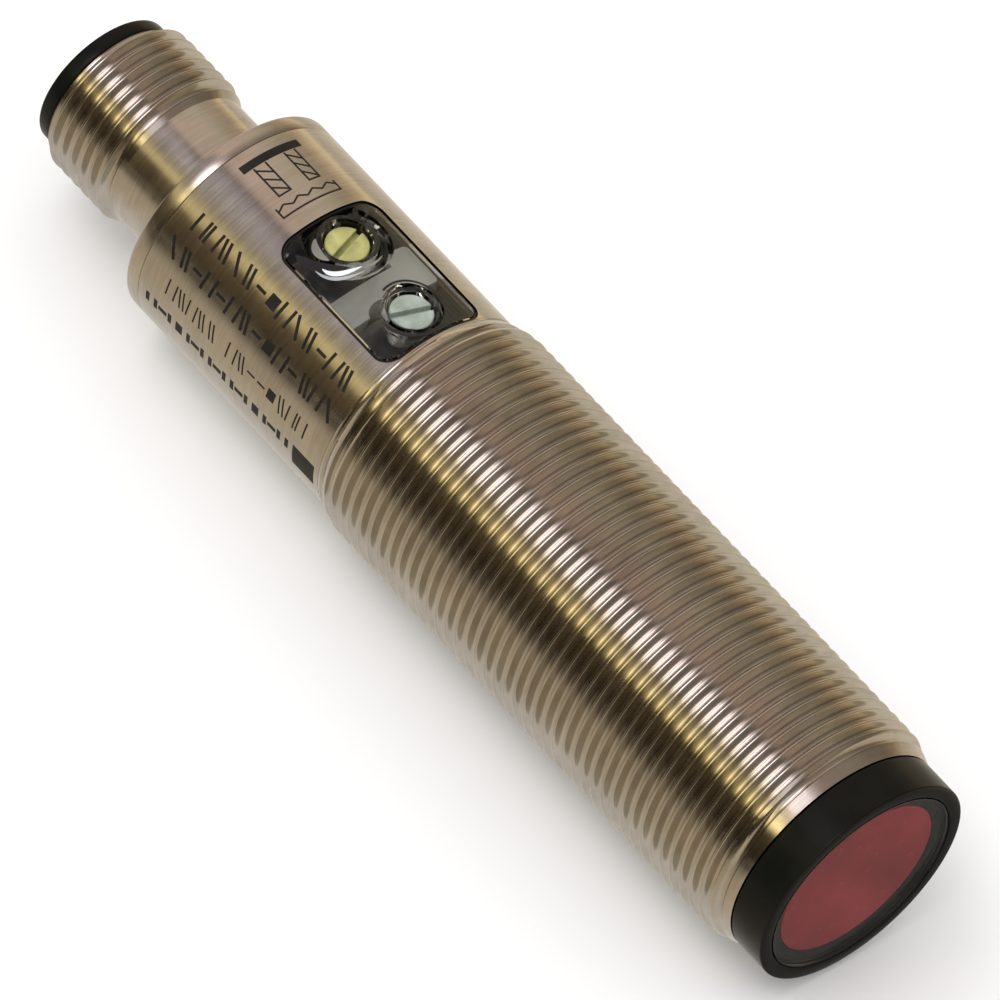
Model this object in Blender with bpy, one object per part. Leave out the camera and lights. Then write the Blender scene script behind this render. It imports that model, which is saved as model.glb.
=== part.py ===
"""Cylindrical photoelectric sensor, M18 threaded barrel with an M12 connector.

Metres, +Z up. The origin is the centre of the sensing face, +X points out of
it, and +Z points out of the adjuster window. Places along the barrel are
written as depths behind the sensing face, so a depth d lies at x = -d.
"""

import math

import bmesh
import bpy
from mathutils import Matrix, Vector

MM = 0.001

# ------------------------------------------------------------ driving sizes
TURN_STEPS = 24                 # facets round the barrel and its coaxial pieces
SMALL_STEPS = 16                # facets round the adjusters
PIN_STEPS = 12
FIT = 0.06 * MM                 # glued or pressed fit
SEAT = 0.10 * MM                # gap where two pieces meet end to end
HELPER_TURN = math.radians(7)   # keeps a cutter's corners off its piece's edges

# M18 x 1 barrel
PITCH = 1.0 * MM
BARREL_CREST_R = 9.0 * MM
BARREL_ROOT_R = 8.387 * MM
BARREL_FRONT = 3.0 * MM         # depth of the barrel's front end
BARREL_FRONT_R = 8.3 * MM
BARREL_FULL_FRONT = 4.9 * MM    # the thread is full between these two depths
BARREL_FULL_REAR = 43.3 * MM
BARREL_THREAD_REAR = 45.3 * MM
BODY_R = 8.42 * MM              # plain rear part of the barrel
BARREL_REAR = 64.15 * MM
BORE_R = 7.4 * MM

# black front ring, its window and its filter
RING_R = 8.3 * MM
RING_EDGE = 0.35 * MM
SPIGOT_R = BORE_R - FIT
SPIGOT_END = 6.0 * MM
WINDOW_R = 7.25 * MM
WINDOW_THICK = 0.7 * MM
FILTER_R = 6.2 * MM
FILTER_FRONT = 0.8 * MM
FILTER_THICK = 0.6 * MM
RING_BORE_R = 5.9 * MM

# optics behind the ring
TUBE_FRONT = SPIGOT_END + SEAT
TUBE_STEP = 9.6 * MM
TUBE_REAR = 24.0 * MM
TUBE_HEAD_R = 7.2 * MM
TUBE_BARREL_R = 5.4 * MM
TUBE_BORE_R = 4.4 * MM
LENS_R = 6.0 * MM
SPLITTER_DEPTH = 15.0 * MM

# electronics
MAIN_TOP = -1.2 * MM            # z of the main board's upper face
MAIN_THICK = 0.8 * MM
MAIN_FRONT = 26.5 * MM
MAIN_REAR = 60.0 * MM
MAIN_WIDTH = 12.6 * MM
CRADLE_R = 7.2 * MM
CRADLE_WALL = 0.8 * MM
ADJUSTER_TOP = 2.5 * MM         # z of the adjuster board's upper face
ADJUSTER_THICK = 0.6 * MM

# adjuster window in the plain part of the barrel
WINDOW_DEPTH = 51.15 * MM       # its centre
WINDOW_LENGTH = 11.8 * MM
WINDOW_WIDTH = 8.4 * MM
WINDOW_CORNER = 1.3 * MM
GASKET_WALL = 0.35 * MM
COVER_BASE = 4.9 * MM
COVER_FLANGE = 5.6 * MM
COVER_R = BODY_R - 0.06 * MM    # the clear cover follows the barrel

# adjusters
SENSITIVITY_DEPTH = 54.6 * MM
MODE_DEPTH = 47.9 * MM
HEAD_R = 1.5 * MM
WELL_R = 1.65 * MM
WELL_FLOOR = 6.35 * MM
HEAD_BOTTOM = 6.9 * MM
HEAD_TOP = 7.9 * MM
NECK_R = 0.9 * MM
NECK_BOTTOM = 4.0 * MM
SLOT_WIDTH = 0.45 * MM
SLOT_DEPTH = 0.5 * MM
SENSITIVITY_SLOT = -72.0        # slot directions at rest, degrees from +X
MODE_SLOT = 73.0

# M12 x 1 connector
FLANGE_FRONT = 64.25 * MM
FLANGE_REAR = 65.45 * MM
NECK_OUTER_R = 5.4 * MM
M12_FRONT = 70.6 * MM
M12_FULL_FRONT = 71.6 * MM
M12_FULL_REAR = 76.9 * MM
M12_REAR = 77.6 * MM
M12_CREST_R = 6.0 * MM
M12_ROOT_R = 5.387 * MM
M12_END_R = 5.35 * MM
INSERT_R = 4.65 * MM
LIP_R = 5.25 * MM
RECESS_R = 4.2 * MM
RECESS_FLOOR = 70.3 * MM
INSERT_REAR = 78.8 * MM
PIN_R = 0.5 * MM
PIN_CIRCLE_R = 2.5 * MM
PIN_TIP = 77.3 * MM


# ---------------------------------------------------------------- materials
def material(name, colour, roughness, metallic=0.0, transmission=0.0):
    """A Principled material with the piece's colour, roughness and metal."""
    made = bpy.data.materials.new(name)
    made.use_nodes = True
    shader = made.node_tree.nodes["Principled BSDF"]
    shader.inputs["Base Color"].default_value = (*colour, 1.0)
    shader.inputs["Roughness"].default_value = roughness
    shader.inputs["Metallic"].default_value = metallic
    shader.inputs["Transmission Weight"].default_value = transmission
    made.diffuse_color = (*colour, 1.0)
    return made


def nickel(name):
    return material(name, (0.62, 0.57, 0.50), 0.25, metallic=1.0)


def black_plastic(name):
    return material(name, (0.02, 0.022, 0.022), 0.4)


def clear_plastic(name):
    return material(name, (0.75, 0.78, 0.76), 0.05, transmission=0.9)


def circuit_board(name):
    return material(name, (0.03, 0.22, 0.10), 0.5)


def soft_seal(name):
    return material(name, (0.03, 0.03, 0.03), 0.7)


# ------------------------------------------------------------- mesh helpers
def finish(name, bm, finish_material, at=(0.0, 0.0, 0.0)):
    """Close a bmesh into a named object whose origin is at the given place."""
    bmesh.ops.recalc_face_normals(bm, faces=bm.faces)
    mesh = bpy.data.meshes.new(name)
    bm.to_mesh(mesh)
    bm.free()
    mesh.materials.append(finish_material)
    mesh.shade_smooth()
    mesh.set_sharp_from_angle(angle=math.radians(30))
    piece = bpy.data.objects.new(name, mesh)
    piece.location = at
    bpy.context.scene.collection.objects.link(piece)
    return piece


def lathe(bm, profile, steps=TURN_STEPS):
    """Turn a profile of (depth, radius) points round the barrel's axis.

    A profile that starts and ends at radius 0 makes a solid of revolution,
    and any other is closed on itself and makes a ring.
    """
    points = [bm.verts.new((-depth, 0.0, radius)) for depth, radius in profile]
    solid = profile[0][1] == 0.0
    ends = points[1:] if solid else points[1:] + points[:1]
    edges = [bm.edges.new(pair) for pair in zip(points, ends)]
    bmesh.ops.spin(bm, geom=points + edges, axis=(1, 0, 0), cent=(0, 0, 0),
                   angle=math.tau, steps=steps, use_merge=True)
    bmesh.ops.remove_doubles(bm, verts=bm.verts, dist=0.001 * MM)


def turned(name, profile, finish_material, steps=TURN_STEPS):
    bm = bmesh.new()
    lathe(bm, profile, steps)
    return finish(name, bm, finish_material)


def upright(name, profile, finish_material, at, steps=SMALL_STEPS):
    """Turn a profile of (height, radius) points round the +Z axis at a place."""
    bm = bmesh.new()
    lathe(bm, [(-height, radius) for height, radius in profile], steps)
    bmesh.ops.rotate(bm, verts=bm.verts, cent=(0, 0, 0),
                     matrix=Matrix.Rotation(-math.pi / 2, 3, "Y"))
    return finish(name, bm, finish_material, at)


def seal_ring(name, depth, middle_r, section_r, finish_material):
    """An O-ring coaxial with the barrel."""
    profile = []
    for step in range(8):
        angle = math.tau * step / 8
        profile.append((depth + section_r * math.cos(angle),
                        middle_r + section_r * math.sin(angle)))
    return turned(name, profile, finish_material)


def block(name, low, high, finish_material, edge=0.0):
    """A box between two corners, with bevelled edges if edge isn't 0."""
    bm = bmesh.new()
    size = Vector(high) - Vector(low)
    centre = (Vector(high) + Vector(low)) / 2
    bmesh.ops.create_cube(bm, size=1.0)
    bmesh.ops.scale(bm, vec=size, verts=bm.verts)
    if edge:
        bmesh.ops.bevel(bm, geom=bm.edges[:], offset=edge, segments=1, affect="EDGES")
    return finish(name, bm, finish_material, centre)


def rounded_rectangle(length, width, corner, corner_steps=4):
    """Points of a rounded rectangle round (0, 0), counter-clockwise."""
    points = []
    for quarter, (sx, sy) in enumerate(((1, 1), (-1, 1), (-1, -1), (1, -1))):
        for step in range(corner_steps + 1):
            angle = math.pi / 2 * (quarter + step / corner_steps)
            points.append((sx * (length / 2 - corner) + corner * math.cos(angle),
                           sy * (width / 2 - corner) + corner * math.sin(angle)))
    return points


def window_stack(bm, levels, ring=False):
    """Join rounded rectangles round the window's centre into a closed body.

    Each level is (length, width, corner, z). A ring's last level joins its first.
    """
    loops = []
    for length, width, corner, z in levels:
        outline = rounded_rectangle(length, width, corner)
        loops.append([bm.verts.new((x - WINDOW_DEPTH, y, z)) for x, y in outline])
    pairs = list(zip(loops, loops[1:]))
    if ring:
        pairs.append((loops[-1], loops[0]))
    else:
        bm.faces.new(loops[0])
        bm.faces.new(loops[-1])
    count = len(loops[0])
    for lower, upper in pairs:
        for i in range(count):
            j = (i + 1) % count
            bm.faces.new((lower[i], lower[j], upper[j], upper[i]))


def extruded(name, outline, low, high, finish_material):
    """Extrude an outline of (y, z) points along the barrel between two depths."""
    bm = bmesh.new()
    face = bm.faces.new([bm.verts.new((-low, y, z)) for y, z in outline])
    grown = bmesh.ops.extrude_face_region(bm, geom=[face])["geom"]
    moved = [item for item in grown if isinstance(item, bmesh.types.BMVert)]
    bmesh.ops.translate(bm, vec=(low - high, 0, 0), verts=moved)
    return finish(name, bm, finish_material)


def ribbon(name, path, thickness, width, finish_material):
    """A flat flexible strip along a path of (depth, z) points."""
    bm = bmesh.new()
    places = [Vector((-depth, 0, z)) for depth, z in path]
    sections = []
    for i, place in enumerate(places):
        before = places[max(i - 1, 0)]
        after = places[min(i + 1, len(places) - 1)]
        along = (after - before).normalized()
        out = along.cross(Vector((0, 1, 0))) * thickness / 2
        side = Vector((0, width / 2, 0))
        corners = (place + out + side, place + out - side, place - out - side, place - out + side)
        sections.append([bm.verts.new(corner) for corner in corners])
    bm.faces.new(sections[0])
    bm.faces.new(sections[-1])
    for near, far in zip(sections, sections[1:]):
        for i in range(4):
            j = (i + 1) % 4
            bm.faces.new((near[i], near[j], far[j], far[i]))
    return finish(name, bm, finish_material)


def tool(name):
    """Turn an object into a hidden cutter or adder for a Boolean."""
    helper = bpy.data.objects[name]
    helper.hide_render = True
    helper.display_type = "WIRE"
    return helper


def combine(piece, helper, operation):
    """Apply a helper to a piece with an exact Boolean."""
    change = piece.modifiers.new(operation.lower() + "_" + helper.name, "BOOLEAN")
    change.operation = operation
    change.solver = "EXACT"
    change.object = tool(helper.name)


def rod(name, start, direction, length, radius, steps=PIN_STEPS):
    """A helper cylinder from a start point along a direction.

    It is turned a little about its own axis, so that none of its corners lies
    on an edge of the piece that it works on.
    """
    bm = bmesh.new()
    turn = Vector((0, 0, 1)).rotation_difference(Vector(direction)).to_matrix()
    turn = turn @ Matrix.Rotation(HELPER_TURN, 3, "Z")
    bmesh.ops.create_cone(bm, cap_ends=True, segments=steps, radius1=radius,
                          radius2=radius, depth=length)
    bmesh.ops.translate(bm, vec=(0, 0, length / 2), verts=bm.verts)
    bmesh.ops.rotate(bm, verts=bm.verts, cent=(0, 0, 0), matrix=turn)
    return finish(name, bm, HELPER, start)


# ------------------------------------------------------------------ threads
def limit_radius(depth, stations):
    """Radius of the turned blank at a depth, between (depth, radius) stations."""
    for (d0, r0), (d1, r1) in zip(stations, stations[1:]):
        if d0 <= depth <= d1:
            return r0 + (r1 - r0) * (depth - d0) / (d1 - d0)
    return stations[-1][1]


def thread_skin(bm, start, turns, root_r, crest_r, stations):
    """A helical V thread as an open skin, and its two flat end rings.

    The blank's stations cut the crests down towards the thread's ends. Each
    turn has one root line and one crest line. The skin's ends are closed to a
    ring of TURN_STEPS points at each end's depth, and the rings are returned.
    """
    end = start + (turns + 1) * PITCH
    rows = []
    for k in range(2 * turns + 1):
        nominal_r = crest_r if k % 2 else root_r
        row = []
        for j in range(TURN_STEPS):
            depth = start + (k / 2 + j / TURN_STEPS) * PITCH
            radius = min(nominal_r, limit_radius(depth, stations))
            row.append(place_round(bm, depth, radius, j))
        rows.append(row)
    front = [rows[0][0]]
    rear = []
    for j in range(TURN_STEPS):
        if j:
            radius = min(root_r, limit_radius(start, stations))
            front.append(place_round(bm, start, radius, j))
        radius = min(root_r, limit_radius(end, stations))
        rear.append(place_round(bm, end, radius, j))
    last = TURN_STEPS - 1
    for k in range(2 * turns):
        for j in range(last):
            bm.faces.new((rows[k][j], rows[k][j + 1], rows[k + 1][j + 1], rows[k + 1][j]))
    # across the seam a turn's last column meets the next turn's first
    for k in range(2 * turns - 2):
        bm.faces.new((rows[k][last], rows[k + 2][0], rows[k + 3][0], rows[k + 1][last]))
    close_thread_front(bm, rows, front)
    close_thread_rear(bm, rows, rear)
    return front, rear


def place_round(bm, depth, radius, step):
    angle = math.tau * step / TURN_STEPS
    return bm.verts.new((-depth, radius * math.sin(angle), radius * math.cos(angle)))


def close_thread_front(bm, rows, front):
    """Fill between the front ring and the first root line."""
    last = TURN_STEPS - 1
    bm.faces.new((front[0], front[1], rows[0][1]))
    for j in range(1, last):
        bm.faces.new((front[j], front[j + 1], rows[0][j + 1], rows[0][j]))
    bm.faces.new((front[last], rows[0][0], rows[0][last]))
    for k in range(2):
        bm.faces.new((rows[k][0], rows[k + 1][0], rows[0][last]))


def close_thread_rear(bm, rows, rear):
    """Fill between the last root line and the rear ring."""
    last = TURN_STEPS - 1
    final = len(rows) - 1
    for k in range(final - 2, final):
        bm.faces.new((rows[k][last], rows[k + 1][last], rows[final][0]))
    for j in range(last):
        bm.faces.new((rows[final][j], rows[final][j + 1], rear[j + 1], rear[j]))
    bm.faces.new((rows[final][last], rear[0], rear[last]))
    bm.faces.new((rows[final][last], rows[final][0], rear[0]))


def ring_of(bm, depth, radius):
    return [place_round(bm, depth, radius, j) for j in range(TURN_STEPS)]


def join_rings(bm, rings):
    """Bridge rings of TURN_STEPS points, each to the next."""
    for near, far in zip(rings, rings[1:]):
        for j in range(TURN_STEPS):
            i = (j + 1) % TURN_STEPS
            bm.faces.new((near[j], near[i], far[i], far[j]))


# ------------------------------------------------------------------- pieces
def barrel_housing():
    bm = bmesh.new()
    stations = [(BARREL_FRONT, BARREL_FRONT_R),
                (BARREL_FULL_FRONT, BARREL_CREST_R),
                (BARREL_FULL_REAR, BARREL_CREST_R),
                (BARREL_THREAD_REAR, BARREL_ROOT_R)]
    turns = int((BARREL_THREAD_REAR - BARREL_FRONT) / PITCH) - 1
    front, rear = thread_skin(bm, BARREL_FRONT, turns, BARREL_ROOT_R, BARREL_CREST_R, stations)
    edge = 0.15 * MM
    step_depth = BARREL_THREAD_REAR
    outline = [(step_depth, BODY_R), (BARREL_REAR - edge, BODY_R), (BARREL_REAR, BODY_R - edge),
               (BARREL_REAR, BORE_R + edge), (BARREL_REAR - edge, BORE_R),
               (BARREL_FRONT + edge, BORE_R), (BARREL_FRONT, BORE_R + edge)]
    rings = [ring_of(bm, depth, radius) for depth, radius in outline]
    join_rings(bm, [rear] + rings + [front])
    housing = finish("barrel_housing", bm, nickel("housing_nickel"))
    cut = bmesh.new()
    window_stack(cut, [(WINDOW_LENGTH, WINDOW_WIDTH, WINDOW_CORNER, 2.0 * MM),
                       (WINDOW_LENGTH, WINDOW_WIDTH, WINDOW_CORNER, 10.0 * MM)])
    combine(housing, finish("window_cutter", cut, HELPER), "DIFFERENCE")


def front_ring():
    back = BARREL_FRONT - SEAT
    groove = 4.45 * MM
    half = 0.32 * MM
    groove_r = 6.83 * MM
    rim_bore = WINDOW_R + FIT
    ledge = WINDOW_THICK + SEAT
    filter_back = FILTER_FRONT + FILTER_THICK + SEAT
    turned("front_ring", [
        (0.0, rim_bore), (0.0, RING_R - RING_EDGE), (0.3 * RING_EDGE, RING_R - 0.3 * RING_EDGE),
        (RING_EDGE, RING_R), (back, RING_R), (back, SPIGOT_R),
        (groove - half, SPIGOT_R), (groove - half, groove_r),
        (groove + half, groove_r), (groove + half, SPIGOT_R),
        (SPIGOT_END, SPIGOT_R), (SPIGOT_END, RING_BORE_R),
        (filter_back, RING_BORE_R), (filter_back, FILTER_R + FIT),
        (ledge, FILTER_R + FIT), (ledge, rim_bore)], black_plastic("ring_plastic"))
    seal_ring("front_seal_ring", groove, 7.1 * MM, 0.22 * MM, soft_seal("front_seal_rubber"))


def front_optics():
    edge = 0.12 * MM
    turned("front_window", [
        (0.0, 0.0), (0.0, WINDOW_R - edge), (edge, WINDOW_R),
        (WINDOW_THICK, WINDOW_R), (WINDOW_THICK, 0.0)], clear_plastic("window_clear"))
    turned("polarising_filter", [
        (FILTER_FRONT, 0.0), (FILTER_FRONT, FILTER_R),
        (FILTER_FRONT + FILTER_THICK, FILTER_R), (FILTER_FRONT + FILTER_THICK, 0.0)],
        material("filter_red", (0.35, 0.05, 0.05), 0.2))
    # plano-convex lens, its crown towards the sensing face
    rim_front = TUBE_FRONT + 0.9 * MM
    crown = 1.6 * MM
    sphere_r = (LENS_R ** 2 + crown ** 2) / (2 * crown)
    profile = []
    for step in range(6):
        radius = LENS_R * step / 5
        profile.append((rim_front - crown + sphere_r - math.sqrt(sphere_r ** 2 - radius ** 2), radius))
    profile += [(rim_front + 1.0 * MM, LENS_R), (rim_front + 1.0 * MM, 0.0)]
    turned("objective_lens", profile, clear_plastic("lens_clear"))


def optics_tube():
    seat = TUBE_FRONT + 2.0 * MM
    tube = turned("optics_tube", [
        (TUBE_FRONT, LENS_R + FIT), (TUBE_FRONT, TUBE_HEAD_R), (TUBE_STEP, TUBE_HEAD_R),
        (TUBE_STEP + 1.2 * MM, TUBE_BARREL_R), (TUBE_REAR, TUBE_BARREL_R),
        (TUBE_REAR, TUBE_BORE_R), (TUBE_STEP + 0.6 * MM, TUBE_BORE_R),
        (seat, LENS_R - 0.5 * MM), (seat, LENS_R + FIT)], black_plastic("tube_plastic"))
    port = rod("receiver_port_cutter", (-SPLITTER_DEPTH, 0, -3.0 * MM), (0, 0, -1), 4.0 * MM, 1.2 * MM)
    combine(tube, port, "DIFFERENCE")
    # half-silvered plate at 45 degrees to the axis
    plate = block("beam_splitter", (-0.3 * MM, -3.0 * MM, -3.2 * MM), (0.3 * MM, 3.0 * MM, 3.2 * MM),
                  material("splitter_glass", (0.7, 0.72, 0.75), 0.05, metallic=0.5))
    plate.location = (-SPLITTER_DEPTH, 0, 0)
    plate.rotation_euler = (0, math.radians(-45), 0)


def emitter():
    front = 19.6 * MM
    turned("emitter_holder", [
        (front, 1.7 * MM), (front, TUBE_BORE_R - FIT), (23.4 * MM, TUBE_BORE_R - FIT),
        (23.4 * MM, 2.4 * MM), (21.8 * MM, 2.4 * MM), (21.8 * MM, 1.7 * MM)],
        material("holder_brass", (0.75, 0.58, 0.30), 0.35, metallic=1.0))
    can_r = 1.6 * MM
    flange_r = 2.3 * MM
    diode = turned("emitter_diode", [
        (20.0 * MM, 0.0), (20.0 * MM, can_r - 0.2 * MM), (20.2 * MM, can_r), (21.9 * MM, can_r),
        (21.9 * MM, flange_r), (22.9 * MM, flange_r), (22.9 * MM, 0.0)],
        material("diode_metal", (0.7, 0.68, 0.6), 0.3, metallic=1.0), steps=SMALL_STEPS)
    for side in (-1, 1):
        lead = rod("lead_adder_%d" % (side + 2), (-22.5 * MM, side * 0.8 * MM, -0.92 * MM),
                   (-1, 0, 0), 6.0 * MM, 0.22 * MM, steps=8)
        combine(diode, lead, "UNION")


def receiver():
    top = -TUBE_BARREL_R - SEAT
    block("receiver_diode", (-SPLITTER_DEPTH - 1.5 * MM, -1.3 * MM, top - 0.9 * MM),
          (-SPLITTER_DEPTH + 1.5 * MM, 1.3 * MM, top), material("receiver_epoxy", (0.05, 0.02, 0.02), 0.1),
          edge=0.08 * MM)
    board_top = top - 0.9 * MM - FIT
    block("receiver_board", (-SPLITTER_DEPTH - 2.6 * MM, -1.6 * MM, board_top - 0.4 * MM),
          (-SPLITTER_DEPTH + 2.6 * MM, 1.6 * MM, board_top), circuit_board("receiver_board_green"))
    rear = SPLITTER_DEPTH + 2.6 * MM + SEAT
    z = board_top - 0.2 * MM
    board_z = MAIN_TOP - MAIN_THICK - 0.2 * MM
    path = [(rear, z)]
    steps = 8
    rise = TUBE_REAR - 0.2 * MM
    reach = MAIN_FRONT - 0.1 * MM - rise
    for step in range(steps + 1):
        part = step / steps
        ease = part * part * (3 - 2 * part)
        path.append((rise + reach * part, z + (board_z - z) * ease))
    path.append((MAIN_FRONT + 2.5 * MM, board_z))
    ribbon("optics_flex", path, 0.15 * MM, 2.6 * MM, material("flex_amber", (0.55, 0.28, 0.06), 0.4))


def main_board():
    low = MAIN_TOP - MAIN_THICK
    half = MAIN_WIDTH / 2
    block("main_board", (-MAIN_REAR, -half, low), (-MAIN_FRONT, half, MAIN_TOP),
          circuit_board("main_board_green"))
    top = MAIN_TOP + FIT
    under = low - FIT
    chip = material("chip_black", (0.03, 0.03, 0.035), 0.5)
    block("signal_ic", (-43.5 * MM, -2.5 * MM, top), (-38.5 * MM, 2.5 * MM, top + 0.95 * MM), chip,
          edge=0.12 * MM)
    block("driver_ic", (-50.0 * MM, -1.95 * MM, under - 1.4 * MM), (-45.1 * MM, 1.95 * MM, under),
          material("driver_black", (0.03, 0.03, 0.035), 0.5), edge=0.12 * MM)
    block("protection_diode", (-57.0 * MM, -1.3 * MM, under - 1.1 * MM), (-52.7 * MM, 1.3 * MM, under),
          material("diode_black", (0.03, 0.03, 0.035), 0.5), edge=0.12 * MM)
    block("buffer_capacitor", (-35.6 * MM, -4.6 * MM, top), (-32.1 * MM, -1.8 * MM, top + 1.9 * MM),
          material("tantalum_yellow", (0.75, 0.5, 0.08), 0.5), edge=0.12 * MM)
    upright("supply_choke", [(0.0, 0.0), (0.0, 2.0 * MM), (0.5 * MM, 2.2 * MM), (1.9 * MM, 2.2 * MM),
                             (2.4 * MM, 2.0 * MM), (2.4 * MM, 0.0)],
            material("choke_ferrite", (0.09, 0.09, 0.10), 0.6), (-33.8 * MM, 2.9 * MM, top))


def board_cradle():
    """Half-round plastic cradle that carries the main board on two ledges."""
    outer = []
    inner = []
    for step in range(13):
        angle = math.radians(200 + 140 * step / 12)
        outer.append((CRADLE_R * math.cos(angle), CRADLE_R * math.sin(angle)))
    inner_r = CRADLE_R - CRADLE_WALL
    ledge_z = MAIN_TOP - MAIN_THICK - SEAT
    ledge_y = MAIN_WIDTH / 2 - 1.0 * MM
    wall_y = MAIN_WIDTH / 2 + SEAT
    for step in range(9):
        angle = math.radians(325 - 110 * step / 8)
        inner.append((inner_r * math.cos(angle), inner_r * math.sin(angle)))
    top_z = outer[-1][1]
    shelf = [(wall_y, top_z), (wall_y, ledge_z), (ledge_y, ledge_z)]
    mirror = [(-y, z) for y, z in reversed(shelf)]
    extruded("board_cradle", outer + shelf + inner + mirror, MAIN_FRONT - 0.5 * MM,
             MAIN_REAR - 0.2 * MM, material("cradle_grey", (0.25, 0.26, 0.27), 0.5))


def adjuster_board():
    low = ADJUSTER_TOP - ADJUSTER_THICK
    block("adjuster_board", (-WINDOW_DEPTH - 7.0 * MM, -4.8 * MM, low),
          (-WINDOW_DEPTH + 7.0 * MM, 4.8 * MM, ADJUSTER_TOP), circuit_board("adjuster_board_green"))
    block("board_header", (-58.0 * MM, -3.8 * MM, MAIN_TOP + FIT), (-56.4 * MM, 3.8 * MM, low - FIT),
          black_plastic("header_plastic"))
    base = ADJUSTER_TOP + FIT
    for name, depth, colour in (("sensitivity_pot", SENSITIVITY_DEPTH, (0.10, 0.16, 0.35)),
                                ("mode_switch", MODE_DEPTH, (0.12, 0.12, 0.13))):
        body = block(name, (-depth - 2.0 * MM, -2.1 * MM, base), (-depth + 2.0 * MM, 2.1 * MM, base + 2.0 * MM),
                     material(name + "_plastic", colour, 0.45), edge=0.15 * MM)
        socket = rod(name + "_socket_cutter", (-depth, 0, NECK_BOTTOM - 0.2 * MM), (0, 0, 1), 3.0 * MM,
                     NECK_R + FIT, steps=SMALL_STEPS)
        combine(body, socket, "DIFFERENCE")
    for name, side, colour in (("power_led", 1, (0.10, 0.55, 0.15)), ("output_led", -1, (0.85, 0.6, 0.05))):
        y = side * 3.0 * MM
        block(name, (-WINDOW_DEPTH - 0.6 * MM, y - 1.0 * MM, base), (-WINDOW_DEPTH + 0.6 * MM, y + 1.0 * MM, base + 0.8 * MM),
              material(name + "_epoxy", colour, 0.2), edge=0.08 * MM)


def window_pieces():
    gasket_out = (WINDOW_LENGTH - 2 * FIT, WINDOW_WIDTH - 2 * FIT, WINDOW_CORNER - FIT)
    inset = GASKET_WALL + FIT
    gasket_in = (WINDOW_LENGTH - 2 * inset, WINDOW_WIDTH - 2 * inset, WINDOW_CORNER - inset)
    inset += FIT
    cover = (WINDOW_LENGTH - 2 * inset, WINDOW_WIDTH - 2 * inset, WINDOW_CORNER - inset)
    flange = (WINDOW_LENGTH + 1.0 * MM, WINDOW_WIDTH + 0.8 * MM, WINDOW_CORNER)
    above = 9.0 * MM
    foot = COVER_FLANGE + FIT

    bm = bmesh.new()
    window_stack(bm, [(*gasket_out, foot), (*gasket_out, above), (*gasket_in, above), (*gasket_in, foot)],
                 ring=True)
    gasket = finish("window_gasket", bm, soft_seal("gasket_rubber"))
    combine(gasket, barrel_envelope("gasket_envelope", BODY_R - 0.12 * MM), "INTERSECT")

    bm = bmesh.new()
    window_stack(bm, [(*flange, COVER_BASE), (*flange, COVER_FLANGE), (*cover, COVER_FLANGE), (*cover, above)])
    clear = finish("window_cover", bm, clear_plastic("cover_clear"))
    combine(clear, barrel_envelope("cover_envelope", COVER_R), "INTERSECT")
    for name, depth in (("sensitivity", SENSITIVITY_DEPTH), ("mode", MODE_DEPTH)):
        well = rod(name + "_well_cutter", (-depth, 0, WELL_FLOOR), (0, 0, 1), 3.0 * MM, WELL_R, steps=SMALL_STEPS)
        combine(clear, well, "DIFFERENCE")
        neck = rod(name + "_neck_cutter", (-depth, 0, 4.0 * MM), (0, 0, 1), 3.0 * MM, NECK_R + FIT,
                   steps=SMALL_STEPS)
        combine(clear, neck, "DIFFERENCE")


def barrel_envelope(name, radius):
    """A helper rod along the barrel that trims a piece flush with its surface."""
    bm = bmesh.new()
    low = WINDOW_DEPTH - WINDOW_LENGTH
    high = WINDOW_DEPTH + WINDOW_LENGTH
    lathe(bm, [(low, 0.0), (low, radius), (high, radius), (high, 0.0)], 2 * TURN_STEPS)
    return finish(name, bm, HELPER)


def adjuster(name, depth, slot_angle, colour):
    """A slotted rotor that turns about +Z, and the seal under its head."""
    edge = 0.12 * MM
    place = (-depth, 0.0, HEAD_TOP)
    low = NECK_BOTTOM - HEAD_TOP
    head = HEAD_BOTTOM - HEAD_TOP
    rotor = upright(name + "_rotor", [
        (low, 0.0), (low, NECK_R - edge), (low + edge, NECK_R), (head, NECK_R), (head, HEAD_R),
        (-edge, HEAD_R), (0.0, HEAD_R - edge), (0.0, 0.0)],
        material(name + "_rotor_plastic", colour, 0.35, transmission=0.3), place)
    slot = block(name + "_slot_cutter", (-2 * HEAD_R, -SLOT_WIDTH / 2, -SLOT_DEPTH),
                 (2 * HEAD_R, SLOT_WIDTH / 2, SLOT_DEPTH), HELPER)
    slot.location = place
    slot.rotation_euler = (0, 0, math.radians(slot_angle))
    combine(rotor, slot, "DIFFERENCE")

    section = 0.22 * MM
    ring = []
    for step in range(8):
        angle = math.tau * step / 8
        ring.append((section * math.cos(angle), 1.2 * MM + section * math.sin(angle)))
    upright(name + "_seal", ring, soft_seal(name + "_seal_rubber"),
            (-depth, 0.0, (WELL_FLOOR + HEAD_BOTTOM) / 2))


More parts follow.
